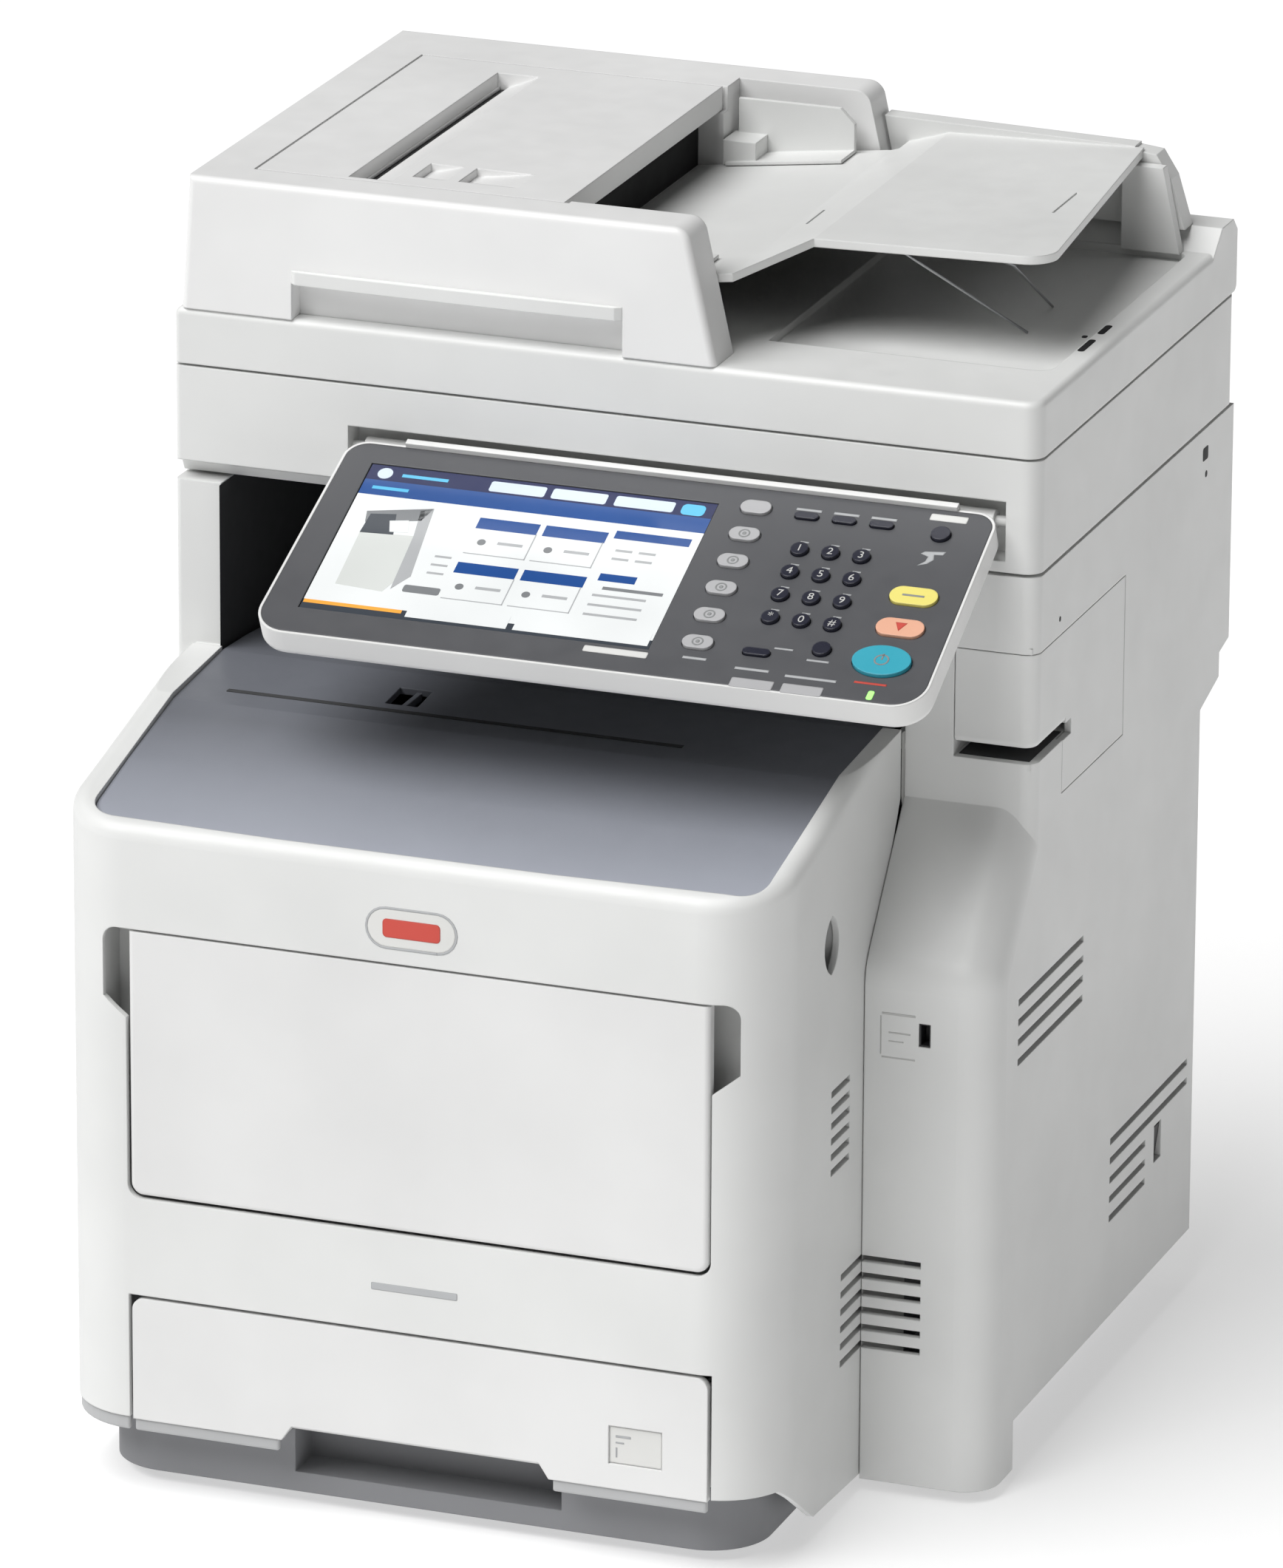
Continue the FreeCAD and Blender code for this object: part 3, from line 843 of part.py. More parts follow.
def key_solid(name, shape, width, depth, x, y, low, high):
    """A key or the hole for it: round when it is a dome, otherwise a block with round ends."""
    radius = depth / 2
    if shape == "dome":
        return rod(name, "Z", (x, y, low), radius, f"({high})-({low})")
    if shape == "oval":
        rim = doc.addObject("Part::Ellipse", name + "_rim")
        rim.MajorRadius = width / 2
        rim.MinorRadius = radius
        rim.Placement = FreeCAD.Placement(FreeCAD.Vector(x, y, 0), FreeCAD.Rotation())
        rim.setExpression("Placement.Base.z", bound(low))
        solid = doc.addObject("Part::Extrusion", name)
        solid.Base = rim
        solid.DirMode = "Custom"
        solid.Dir = FreeCAD.Vector(0, 0, 1)
        solid.setExpression("LengthFwd", less(high, low))
        solid.Solid = True
        return solid
    reach = width / 2 - radius
    bar = box(name + "_bar", (x - reach, x + reach), (y - radius, y + radius), (low, high))
    ends = [rod(f"{name}_end_{i}", "Z", (x + side * reach, y, low), radius, f"({high})-({low})")
            for i, side in enumerate((-1, 1))]
    return fuse(name, bar, *ends)


def panel_outline(inset):
    """The panel seen from above its face: a little wider along the lower edge."""
    return [(f"panel_left-panel_flare_left+{inset}", f"{inset}-panel_length"),
            (f"panel_right+panel_flare_right-{inset}", f"{inset}-panel_length"),
            (f"panel_right-{inset}", f"-{inset}"), (f"panel_left+{inset}", f"-{inset}")]


def panel_housing():
    shell = prism("panel_shell", "XY", panel_outline("0"), "-panel_thick", 0, [
        (edges_at("Z", "rear"), "panel_corner"),
        (edges_at("Z", "front"), "panel_low_corner"),
        (lambda edge, shape: edge.BoundBox.ZMax < 0.01 - DIMS["panel_thick"], "panel_edge")])
    tub = prism("panel_tub", "XY", panel_outline("face_inset"), "-face_thick", "over", [
        (edges_at("Z", "rear"), "panel_corner-face_inset"),
        (edges_at("Z", "front"), "panel_low_corner-face_inset")])
    room = box("panel_room", ("panel_left+panel_wall*2", "panel_right-panel_wall*2"),
               ("panel_wall*2-panel_length", "-panel_wall*2"), ("panel_wall-panel_thick", "over"))
    barrel = rod("panel_barrel", "X", ("panel_left+hinge_barrel", "hinge_up", "hinge_down"), "hinge_barrel",
                 "panel_right-panel_left-2*hinge_barrel")
    web = box("panel_barrel_web", ("panel_left+panel_corner", "panel_right-panel_corner"), ("-panel_wall", "hinge_up"),
              ("hinge_down-3", "hinge_down+3"))
    ridge = box("panel_ridge", ("ridge_left", "ridge_right"), ("-face_inset", "ridge_width-face_inset"),
                ("-face_thick", "ridge_height"))
    bore = rod("panel_barrel_bore", "X", ("panel_left", "hinge_up", "hinge_down"), "hinge_pin+running",
               "panel_right-panel_left")
    walls = cut("panel_walls", shell, tub, room)
    return node("panel_housing", on_panel(cut("panel_housing_cut", fuse("panel_hinged", walls, barrel, web, ridge), bore)))


def panel_face():
    plate = prism("face_plate", "XY", panel_outline("(face_inset+0.2)"), "-face_thick", 0, [
        (edges_at("Z", "rear"), "panel_corner-face_inset-0.2"),
        (edges_at("Z", "front"), "panel_low_corner-face_inset-0.2")])
    gap = 2 * DIMS["key_gap"]
    holes = [key_solid(f"hole_{name}", shape, width + gap, depth + gap, x, y, "-face_thick-over", "over")
             for name, (shape, x, y, width, depth) in KEYS.items()]
    window = box("face_window", ("screen_left", "screen_right"), ("screen_low", "screen_high"),
                 ("-face_thick-over", "over"))
    return node("panel_face", on_panel(cut("panel_face_cut", plate, window, *holes)))


def touch_screen():
    return node("touch_screen", on_panel(prism("screen_block", "XY", [
        ("screen_left+0.3", "screen_low+0.3"), ("screen_right-0.3", "screen_low+0.3"),
        ("screen_right-0.3", "screen_high-0.3"), ("screen_left+0.3", "screen_high-0.3")],
        "-screen_sink-screen_thick", "-screen_sink")))


def keys():
    """Each key is a cap that stands out of the face and a wider flange that keeps it in."""
    flange = 2 * DIMS["key_flange"]
    for name, (shape, x, y, width, depth) in KEYS.items():
        height = "pad_height" if shape == "pad" else "dome_height"
        cap = key_solid(name + "_cap", shape, width, depth, x, y, "-key_base", height)
        skirt = key_solid(name + "_skirt", shape, width + flange, depth + flange, x, y,
                          "-key_base", "-face_thick-key_under")
        node(name, on_panel(fuse(name + "_key", cap, skirt)))


base_frame()
feet()
inner_frame()
left_cover()
right_cover()
rear_cover()
connectors()
imaging_unit()
fuser_unit()
exit_roller()
front_cover()
cover_lever()
bypass_door()
output_tray()
paper_cassette()
lift_plate()
stapler_cover()
power_switch()
scanner_housing()
platen_glass()
scan_carriage()
platen_lid()
backing_pad()
feeder_body()
feeder_cover()
release_lever()
feed_roller()
document_tray()
rear_guide()
front_guide()
panel_housing()
panel_face()
touch_screen()
keys()
doc.recompute()

for item in doc.Objects:
    if "Invalid" in item.State or "Error" in item.State:
        raise RuntimeError(f"{item.Name} did not recompute: {item.State}")

os.makedirs("parts", exist_ok=True)
for piece in nodes:
    if piece.Shape.isNull() or not piece.Shape.isValid():
        raise RuntimeError(f"{piece.Label} has no valid shape")
    piece.Shape.exportStep(f"parts/{piece.Label}.step")
print(len(nodes), "sub-parts")
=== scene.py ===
import math

import bmesh
import bpy
from mathutils import Matrix, Vector


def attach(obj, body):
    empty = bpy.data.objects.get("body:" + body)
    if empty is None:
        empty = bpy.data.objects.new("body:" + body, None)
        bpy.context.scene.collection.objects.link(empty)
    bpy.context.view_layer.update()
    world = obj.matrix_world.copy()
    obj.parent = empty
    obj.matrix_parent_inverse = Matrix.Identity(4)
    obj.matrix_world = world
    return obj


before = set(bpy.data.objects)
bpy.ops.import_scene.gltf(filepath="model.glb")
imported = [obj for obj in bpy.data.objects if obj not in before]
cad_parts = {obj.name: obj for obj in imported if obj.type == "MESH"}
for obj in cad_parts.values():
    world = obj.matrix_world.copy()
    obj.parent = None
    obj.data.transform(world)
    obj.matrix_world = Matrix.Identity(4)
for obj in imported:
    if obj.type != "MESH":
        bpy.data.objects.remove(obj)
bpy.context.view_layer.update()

MM = 0.001

# Frames for flat pieces. Outlines are drawn in local X and Y, and thickened along local Z.
FLAT = Matrix.Identity(4)
# local X to the right, local Y up, local Z out of the front
FRONT = Matrix(((1, 0, 0, 0), (0, 0, -1, 0), (0, 1, 0, 0), (0, 0, 0, 1)))
# local X to the rear, local Y up, local Z out of the right side
SIDE = Matrix(((0, 0, 1, 0), (1, 0, 0, 0), (0, 1, 0, 0), (0, 0, 0, 1)))
# local X to the right, local Y up the slope of the operator panel, local Z out of its face
PANEL_TILT = 24.5
PANEL = Matrix.Translation((0, -0.072, 0.5735)) @ Matrix.Rotation(math.radians(PANEL_TILT), 4, "X")


# ------------------------------------------------------------------ materials

def new_material(name):
    """A material with nothing in it but a Principled shader on its output."""
    material = bpy.data.materials.new(name)
    material.use_nodes = True
    tree = material.node_tree
    tree.nodes.clear()
    shader = tree.nodes.new("ShaderNodeBsdfPrincipled")
    output = tree.nodes.new("ShaderNodeOutputMaterial")
    tree.links.new(shader.outputs[0], output.inputs["Surface"])
    return material, tree, shader


def noise(tree, scale, detail=2.0, rough=0.5, stretch=None):
    """Noise in the piece's own coordinates, so that it rides along when the piece moves."""
    coords = tree.nodes.new("ShaderNodeTexCoord")
    source = coords.outputs["Object"]
    if stretch:
        mapping = tree.nodes.new("ShaderNodeMapping")
        mapping.inputs["Scale"].default_value = stretch
        tree.links.new(source, mapping.inputs["Vector"])
        source = mapping.outputs[0]
    texture = tree.nodes.new("ShaderNodeTexNoise")
    texture.inputs["Scale"].default_value = scale
    texture.inputs["Detail"].default_value = detail
    texture.inputs["Roughness"].default_value = rough
    tree.links.new(source, texture.inputs["Vector"])
    return texture.outputs["Fac"]


def ramp(tree, source, low, high, start=0.3, end=0.7):
    """Maps a noise value to a range of numbers."""
    node = tree.nodes.new("ShaderNodeMapRange")
    node.inputs["From Min"].default_value = start
    node.inputs["From Max"].default_value = end
    node.inputs["To Min"].default_value = low
    node.inputs["To Max"].default_value = high
    tree.links.new(source, node.inputs["Value"])
    return node.outputs[0]


def mixed(tree, dark, light, factor):
    """A colour between dark and light."""
    mix = tree.nodes.new("ShaderNodeMix")
    mix.data_type = "RGBA"
    mix.inputs["A"].default_value = (*dark, 1)
    mix.inputs["B"].default_value = (*light, 1)
    tree.links.new(factor, mix.inputs["Factor"])
    return mix.outputs["Result"]


# scales of the noises in a plastic: its tone drifts slowly over a cover, and its gloss changes faster
TONE_SCALE = 9.0
GLOSS_SCALE = 60.0
# the rest is in metres, apart from the number of samples
GRAIN_DEPTH = 0.0002
EDGE_RADIUS = 0.0011
EDGE_SAMPLES = 6


def plastic(name, colour, rough=0.42, grain=1400.0, bump=0.12, drift=0.025, coat=0.0):
    """Moulded plastic: fine grain, a slow drift in tone, a little change in gloss, and eased edges."""
    material, tree, shader = new_material(name)
    dark = [c * (1 - drift * 2) for c in colour]
    light = [min(1.0, c * (1 + drift)) for c in colour]
    tone = mixed(tree, dark, light, ramp(tree, noise(tree, TONE_SCALE, 3.0), 0.0, 1.0))
    tree.links.new(tone, shader.inputs["Base Color"])
    gloss = ramp(tree, noise(tree, GLOSS_SCALE, 3.0), rough - 0.04, rough + 0.05)
    tree.links.new(gloss, shader.inputs["Roughness"])
    eased = tree.nodes.new("ShaderNodeBevel")
    eased.samples = EDGE_SAMPLES
    eased.inputs["Radius"].default_value = EDGE_RADIUS
    bumps = tree.nodes.new("ShaderNodeBump")
    bumps.inputs["Strength"].default_value = bump
    bumps.inputs["Distance"].default_value = GRAIN_DEPTH
    tree.links.new(noise(tree, grain, 2.0), bumps.inputs["Height"])
    tree.links.new(eased.outputs[0], bumps.inputs["Normal"])
    tree.links.new(bumps.outputs[0], shader.inputs["Normal"])
    shader.inputs["Coat Weight"].default_value = coat
    return material


def painted_sheen_along_y(material, near, far):
    """Paints a sheen and shade into a plastic: lighter at its near end, darker at the far one; an end is (y
    in metres, factor).
    """
    tree = material.node_tree
    spot = tree.nodes.new("ShaderNodeTexCoord")
    parts = tree.nodes.new("ShaderNodeSeparateXYZ")
    tree.links.new(spot.outputs["Object"], parts.inputs[0])
    factor = ramp(tree, parts.outputs["Y"], near[1], far[1], near[0], far[0])
    tint = tree.nodes.new("ShaderNodeVectorMath")
    tint.operation = "SCALE"
    colour = tree.nodes["Principled BSDF"].inputs["Base Color"]
    tree.links.new(colour.links[0].from_socket, tint.inputs[0])
    tree.links.new(factor, tint.inputs["Scale"])
    tree.links.new(tint.outputs[0], colour)


def brushed(name, colour, rough=0.32, stretch=(2.0, 260.0, 260.0)):
    """Steel with fine lines along X."""
    material, tree, shader = new_material(name)
    lines = noise(tree, 6.0, 4.0, 0.7, stretch)
    tone = mixed(tree, [c * 0.8 for c in colour], colour, ramp(tree, lines, 0.0, 1.0))
    tree.links.new(tone, shader.inputs["Base Color"])
    tree.links.new(ramp(tree, lines, rough - 0.06, rough + 0.1), shader.inputs["Roughness"])
    shader.inputs["Metallic"].default_value = 1.0
    return material


def glass(name, colour, alpha=0.35):
    """Tinted flat glass with a slightly uneven polish."""
    material, tree, shader = new_material(name)
    shader.inputs["Base Color"].default_value = (*colour, 1)
    tree.links.new(ramp(tree, noise(tree, 20.0), 0.02, 0.05), shader.inputs["Roughness"])
    shader.inputs["Alpha"].default_value = alpha
    return material


def lit(name, colour, strength=0.25, rough=0.12):
    """A colour on the touch screen: lit a little from behind, under a thin clear coat."""
    material, tree, shader = new_material(name)
    tone = mixed(tree, [c * 0.9 for c in colour], colour, ramp(tree, noise(tree, 14.0, 1.0), 0.0, 1.0))
    tree.links.new(tone, shader.inputs["Base Color"])
    tree.links.new(tone, shader.inputs["Emission Color"])
    shader.inputs["Emission Strength"].default_value = strength
    shader.inputs["Roughness"].default_value = rough
    shader.inputs["Coat Weight"].default_value = 0.1
    shader.inputs["Coat Roughness"].default_value = 0.05
    return material


CASING = plastic("casing_plastic", (0.76, 0.765, 0.755))
DOOR = plastic("door_plastic", (0.77, 0.77, 0.765), rough=0.40)
FEEDER = plastic("feeder_plastic", (0.84, 0.84, 0.835), rough=0.40)
TRAY = plastic("tray_plastic", (0.205, 0.215, 0.245), rough=0.45, grain=1100.0, bump=0.2)
# painted sheen and shade: the output tray is lighter at its front edge and darker towards its rear
painted_sheen_along_y(TRAY, (-0.275, 1.75), (-0.165, 0.72))
# painted shadow: the base pan is a dark grey so that it reads as the shadow under the machine
PAN = plastic("pan_painted_shadow", (0.24, 0.243, 0.255), rough=0.6)
DARK = plastic("dark_plastic", (0.018, 0.018, 0.020), rough=0.5)
INSIDE = plastic("inner_plastic", (0.030, 0.030, 0.033), rough=0.55)
STEEL = brushed("sheet_steel", (0.09, 0.09, 0.095))
SHAFT = brushed("shaft_steel", (0.45, 0.46, 0.47))
RUBBER = plastic("rubber", (0.02, 0.02, 0.02), rough=0.7, grain=700.0, bump=0.3)
PLATEN = glass("platen_glass", (0.75, 0.88, 0.86))
PAD = plastic("pad_white", (0.84, 0.84, 0.84), rough=0.6, grain=500.0)
PANEL_WHITE = plastic("panel_white", (0.80, 0.80, 0.79), rough=0.36)
PANEL_GREY = plastic("panel_grey", (0.086, 0.088, 0.095), rough=0.38, grain=1600.0)
KEY_LIGHT = plastic("key_light", (0.45, 0.45, 0.46), rough=0.35)
KEY_DARK = plastic("key_dark", (0.018, 0.019, 0.034), rough=0.28, coat=0.3)
KEY_YELLOW = plastic("key_yellow", (0.86, 0.76, 0.20), rough=0.35)
KEY_ORANGE = plastic("key_orange", (0.82, 0.44, 0.30), rough=0.35)
KEY_CYAN = plastic("key_cyan", (0.045, 0.40, 0.52), rough=0.3, coat=0.3)

NODE_LOOKS = {
    "base_frame": PAN, "feet": RUBBER, "inner_frame": STEEL, "left_cover": CASING, "right_cover": CASING,
    "rear_cover": CASING, "connectors": DARK, "imaging_unit": INSIDE, "fuser_unit": INSIDE,
    "exit_roller": RUBBER, "front_cover": CASING, "cover_lever": INSIDE, "bypass_door": DOOR,
    "output_tray": TRAY, "paper_cassette": DOOR, "lift_plate": SHAFT, "stapler_cover": CASING,
    "power_switch": DARK, "scanner_housing": CASING, "platen_glass": PLATEN, "scan_carriage": INSIDE,
    "platen_lid": CASING, "backing_pad": PAD, "feeder_body": FEEDER, "feeder_cover": FEEDER,
    "release_lever": DARK, "feed_roller": RUBBER, "document_tray": CASING, "rear_guide": CASING,
    "front_guide": CASING, "panel_housing": PANEL_WHITE, "panel_face": PANEL_GREY, "touch_screen": DARK,
    "reset_key": KEY_YELLOW, "stop_key": KEY_ORANGE, "start_key": KEY_CYAN,
}
for name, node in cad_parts.items():
    look = NODE_LOOKS.get(name) or (KEY_LIGHT if name.startswith("function_key") else KEY_DARK)
    if not node.material_slots:
        node.data.materials.append(look)
    for material_slot in node.material_slots:
        material_slot.material = look

SCREEN_WHITE = lit("screen_white", (0.76, 0.78, 0.78), 0.22)
SCREEN_NAVY = lit("screen_navy", (0.010, 0.016, 0.080), 0.15)
SCREEN_BLUE = lit("screen_blue", (0.018, 0.075, 0.27), 0.20)
SCREEN_TILE = lit("screen_tile", (0.016, 0.070, 0.26), 0.25)
SCREEN_CYAN = lit("screen_cyan", (0.10, 0.46, 0.72), 0.30)
SCREEN_PALE = lit("screen_pale", (0.60, 0.68, 0.80), 0.25)
SCREEN_LIGHT = lit("screen_light", (0.62, 0.64, 0.62), 0.20)
SCREEN_GREY = lit("screen_grey", (0.42, 0.43, 0.44), 0.15)
SCREEN_MID = lit("screen_mid", (0.22, 0.23, 0.24), 0.10)
SCREEN_DARK = lit("screen_dark", (0.055, 0.065, 0.08), 0.05)
SCREEN_ORANGE = lit("screen_orange", (0.80, 0.36, 0.06), 0.30)
GREEN_LAMP = lit("green_lamp", (0.30, 0.85, 0.18), 1.2)
INK = plastic("legend_ink", (0.46, 0.47, 0.48), rough=0.5, bump=0.05)
INK_WHITE = plastic("legend_white", (0.72, 0.72, 0.70), rough=0.5, bump=0.05)
INK_RED = plastic("legend_red", (0.60, 0.07, 0.05), rough=0.5, bump=0.05)
INK_GREY = plastic("legend_grey", (0.30, 0.31, 0.31), rough=0.5, bump=0.05)
# painted shade: near-black and dark grey for sheets and marks that stand for the shade in gaps, slots and
# hollows; the near-black is also the own colour of the lid's black stop pads
SHADE = plastic("painted_shade_and_pad_black", (0.008, 0.008, 0.009), rough=0.9, bump=0.05)
SHADE_GREY = plastic("painted_shade_grey", (0.045, 0.046, 0.048), rough=0.8, bump=0.05)
SEAM_PAINTED_SHADE = plastic("seam_painted_shade", (0.42, 0.42, 0.41), rough=0.6)
RELIEF_PAINTED_SHADE = plastic("relief_painted_shade", (0.60, 0.60, 0.59), rough=0.5)
LIP = plastic("lip_painted_shade", (0.46, 0.465, 0.47), rough=0.5)


# ------------------------------------------------------------------ ways to make a piece

def place_piece(name, mesh, place, look, body):
    """Puts a mesh, curve or sign at its place, gives it its look in a material slot, and lets it ride on a
    body.
    """
    thing = bpy.data.objects.new(name, mesh)
    bpy.context.scene.collection.objects.link(thing)
    thing.matrix_world = place
    mesh.materials.append(look)
    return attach(thing, body)


def solid(name, outlines, low, high, place, look, body, slot_name, soft=0.0):
    """Flat shapes in millimetres, thickened from low to high; soft is the rounding of their edges."""
    mesh = bpy.data.meshes.new(name)
    work = bmesh.new()
    for outline in outlines:
        below = [work.verts.new((x * MM, y * MM, low * MM)) for x, y in outline]
        above = [work.verts.new((x * MM, y * MM, high * MM)) for x, y in outline]
        work.faces.new(below[::-1])
        work.faces.new(above)
        for i in range(len(outline)):
            j = (i + 1) % len(outline)
            work.faces.new((below[i], below[j], above[j], above[i]))
    bmesh.ops.recalc_face_normals(work, faces=work.faces)
    work.to_mesh(mesh)
    work.free()
    thing = place_piece(name, mesh, place, look, body)
    if soft:
        edge = thing.modifiers.new("soft_edge", "BEVEL")
        edge.width, edge.segments, edge.limit_method = soft * MM, 3, "ANGLE"
    return thing


def wire(name, points, radius, look, body):
    """A stiff wire through points given in millimetres."""
    curve = bpy.data.curves.new(name, "CURVE")
    curve.dimensions, curve.bevel_depth, curve.bevel_resolution = "3D", radius * MM, 3
    run = curve.splines.new("POLY")
    run.points.add(len(points) - 1)
    for point, spot in zip(run.points, points):
        point.co = (*[value * MM for value in spot], 1)
    return place_piece(name, curve, FLAT, look, body)


def arc(x, y, radius, start, steps):
    """Points of a quarter circle, from the start angle in degrees."""
    turns = [math.radians(start + 90 * k / steps) for k in range(steps + 1)]
    return [(x + radius * math.cos(turn), y + radius * math.sin(turn)) for turn in turns]


def bar(left, low, right, high, radius=0.0, steps=5):
    """Outline of a rectangle, with rounded corners if radius is given."""
    if not radius:
        return [(left, low), (right, low), (right, high), (left, high)]
    return (arc(right - radius, low + radius, radius, -90, steps)
            + arc(right - radius, high - radius, radius, 0, steps)
            + arc(left + radius, high - radius, radius, 90, steps)
            + arc(left + radius, low + radius, radius, 180, steps))


def hoop(outer, inner):
    """One closed run round a ring: along its outer edge, in through a slit, back along its inner edge."""
    return outer + outer[:1] + inner[:1] + inner[::-1]


def ring(x, y, radius, inner):
    """Outline of a round ring."""
    return hoop(bar(x - radius, y - radius, x + radius, y + radius, radius - 0.01, 8),
                bar(x - inner, y - inner, x + inner, y + inner, inner - 0.01, 8))


# ------------------------------------------------------------------ touch screen: a plain menu of tiles

SCREEN_FACE = -0.6
LAYER = 0.05


def on_screen(name, outlines, look, layer):
    """A shape on the touch screen; a higher layer covers a lower one."""
    low, high = SCREEN_FACE - LAYER, SCREEN_FACE + LAYER * layer
    return solid(name, outlines, low, high, PANEL, look, "panel", "screen")


on_screen("screen_page", [bar(-132.5, -141.5, 76.5, -18)], SCREEN_WHITE, 1)
on_screen("screen_title", [bar(-132.5, -30.5, 76.5, -18)], SCREEN_NAVY, 2)
on_screen("screen_band", [bar(-132.5, -43, 76.5, -30.5)], SCREEN_BLUE, 2)
on_screen("screen_foot", [bar(-132.5, -141.5, 76.5, -134)], SCREEN_DARK, 2)
on_screen("screen_stripe", [bar(-132, -136.8, -73, -134)], SCREEN_ORANGE, 3)
on_screen("screen_roundel", [bar(-127, -29, -118, -20, 4.4)], SCREEN_PALE, 3)
on_screen("screen_title_line", [bar(-112, -26, -84, -23.5), bar(-126, -38, -104, -35.5)], SCREEN_CYAN, 3)
on_screen("screen_tabs", [
    bar(-58.5, -29, -25, -20.5, 1.5),
    bar(-21, -29, 12, -20.5, 1.5),
    bar(17, -29, 52.5, -20.5, 1.5)], SCREEN_PALE, 3)
on_screen("screen_help", [bar(57, -29.5, 71, -20.5, 3)], SCREEN_CYAN, 3)
on_screen("screen_tiles", [
    bar(-55, -60.5, -18.5, -51.5), bar(-15, -60.5, 22.5, -51.5), bar(26.5, -55.5, 71.5, -49),
    bar(-55, -98.5, -18.5, -89.5), bar(-15, -98.5, 22.5, -89.5), bar(29, -91, 51, -85)], SCREEN_TILE, 3)

# each of four tiles has a frame, a dot and a line under its blue head
TILES = [(x, y) for x in (-55, -15) for y in (-82, -120.5)]
on_screen("screen_tile_frames", [bar(x, y, x + 37, y + 0.7) for x, y in TILES]
          + [bar(x + 36.3, y, x + 37, y + 22) for x, y in TILES], SCREEN_GREY, 3)
on_screen("screen_tile_dots", [bar(x, y, x + 5, y + 5, 2.4) for x in (-50, -10) for y in (-74, -112)],
          SCREEN_MID, 3)
tile_lines = [bar(x, y, x + 15, y + 2.2) for x in (-38, 2) for y in (-72, -110)]
list_lines = [bar(x, y, x + 10, y + 1.8) for y in (-66, -73) for x in (31, 45)]
note_lines = [bar(30, y, 62, y + 1.8) for y in (-104, -112, -120)]
caption_lines = [bar(-70, y, -60, y + 1.6) for y in (-88, -95, -102)]
on_screen("screen_tile_lines", tile_lines + list_lines + note_lines + caption_lines, SCREEN_GREY, 3)
on_screen("screen_bars", [bar(-79, -119, -57, -113, 1.5), bar(34, -98, 70, -95.5)], SCREEN_MID, 3)
on_screen("screen_foot_tabs", [bar(-70, -139, -9.5, -128.5), bar(-5.5, -139, 75, -128.5)], SCREEN_WHITE, 4)

# a small drawing of the machine itself
on_screen("screen_machine_front", [[(-120, -75), (-119, -119), (-90, -121), (-86, -112), (-88, -73)]],
          SCREEN_LIGHT, 3)
on_screen("screen_machine_side", [[(-88, -73), (-86, -118), (-78, -106), (-84, -49), (-91, -52)]],
          SCREEN_GREY, 4)
on_screen("screen_machine_top", [[(-122, -57), (-84, -49), (-88, -60), (-120, -66)]], SCREEN_MID, 4)
on_screen("screen_machine_dark", [[(-119, -59), (-104, -57), (-100, -74), (-120, -75)]], SCREEN_DARK, 5)
on_screen("screen_machine_sheet", [[(-106, -63), (-95, -61), (-92, -71), (-103, -72)]], SCREEN_WHITE, 6)


# ------------------------------------------------------------------ legends and signs on the panel

# bottoms and tops of what is printed, from the panel's face
PRINT_LOW = -0.05
LEGEND_HIGH = 0.08
SIGN_HIGH = 0.10
LABEL_HIGH = 0.12
LAMP_HIGH = 0.4
# bottom and top of a mark on a flat key and on the oval start key, and the bottom of a sign on a domed one
PAD_TOP = (1.55, 1.68)
OVAL_TOP = (2.15, 2.28)
DOME_TOP = 2.25
SIGN_SIZE = 7.5
SIGN_THICKNESS = 0.06
START_KEY = (210.6, -130)


def function_spot(line):
    """Middle of a key in the column beside the screen."""
    return 99.5 + 0.7 * line, -18.2 - 22.8 * line


def mode_spot(place):
    """Middle of a key in the row above the digits."""
    return 130.4 + 22.3 * place, -20.3


def digit_spot(column, row):
    """Middle of a key of the digit pad; each row leans a little to the right of the one above."""
    return 135.4 + 18.3 * column + 0.5 * row, -48.2 - 19.1 * row


def bars_over(spots, left, low, right, high):
    """The same small bar beside each of several keys."""
    return [bar(x + left, y + low, x + right, y + high) for x, y in spots]


def printed(name, outlines, high, look, slot_name, soft=0.0):
    """A legend, label, sign or lamp on the face of the panel."""
    return solid(name, outlines, PRINT_LOW, high, PANEL, look, "panel", slot_name, soft)


# plain bars stand where a real panel has words
legends = bars_over([mode_spot(k) for k in range(3)], -7.9, 4.7, 7.1, 6.7)
legends += bars_over([digit_spot(k, j) for j in range(4) for k in range(3)], -2, 6.6, 3, 7.8)
legends += [bar(98, -145.5, 112, -143.5), bar(130, -149, 150, -147), bar(160, -150.5, 190, -148.5),
            bar(168, -135.8, 181, -134.2), bar(147, -129.4, 158, -128)]
printed("panel_legends", legends, LEGEND_HIGH, INK, "key_light")
printed("panel_label", [bar(200, -11, 222, -5.5, 1)], LABEL_HIGH, INK_WHITE, "key_light")
printed("panel_moon", [[
    (206, -37), (214, -36), (218, -35.5), (217, -38.5), (212, -39), (213, -43), (210, -47), (205, -49),
    (208.5, -45), (209, -41), (204, -39)]], SIGN_HIGH, INK, "key_light")
printed("panel_screen_label", [bar(40, -149.5, 78, -144.5, 1)], LABEL_HIGH, INK_WHITE, "key_light")
printed("panel_start_legend", [bar(200, -148.5, 219, -146.8)], SIGN_HIGH, INK_RED, "key_orange")
printed("panel_lamp", [bar(210.6, -160.5, 214.2, -153.5, 1.2)], LAMP_HIGH, GREEN_LAMP, "screen", 0.2)
printed("panel_foot_labels", [
    bar(131, -163.2, 156, -155.5, 1),
    bar(161, -163.2, 185, -155.5, 1)], LABEL_HIGH, KEY_LIGHT, "key_light")

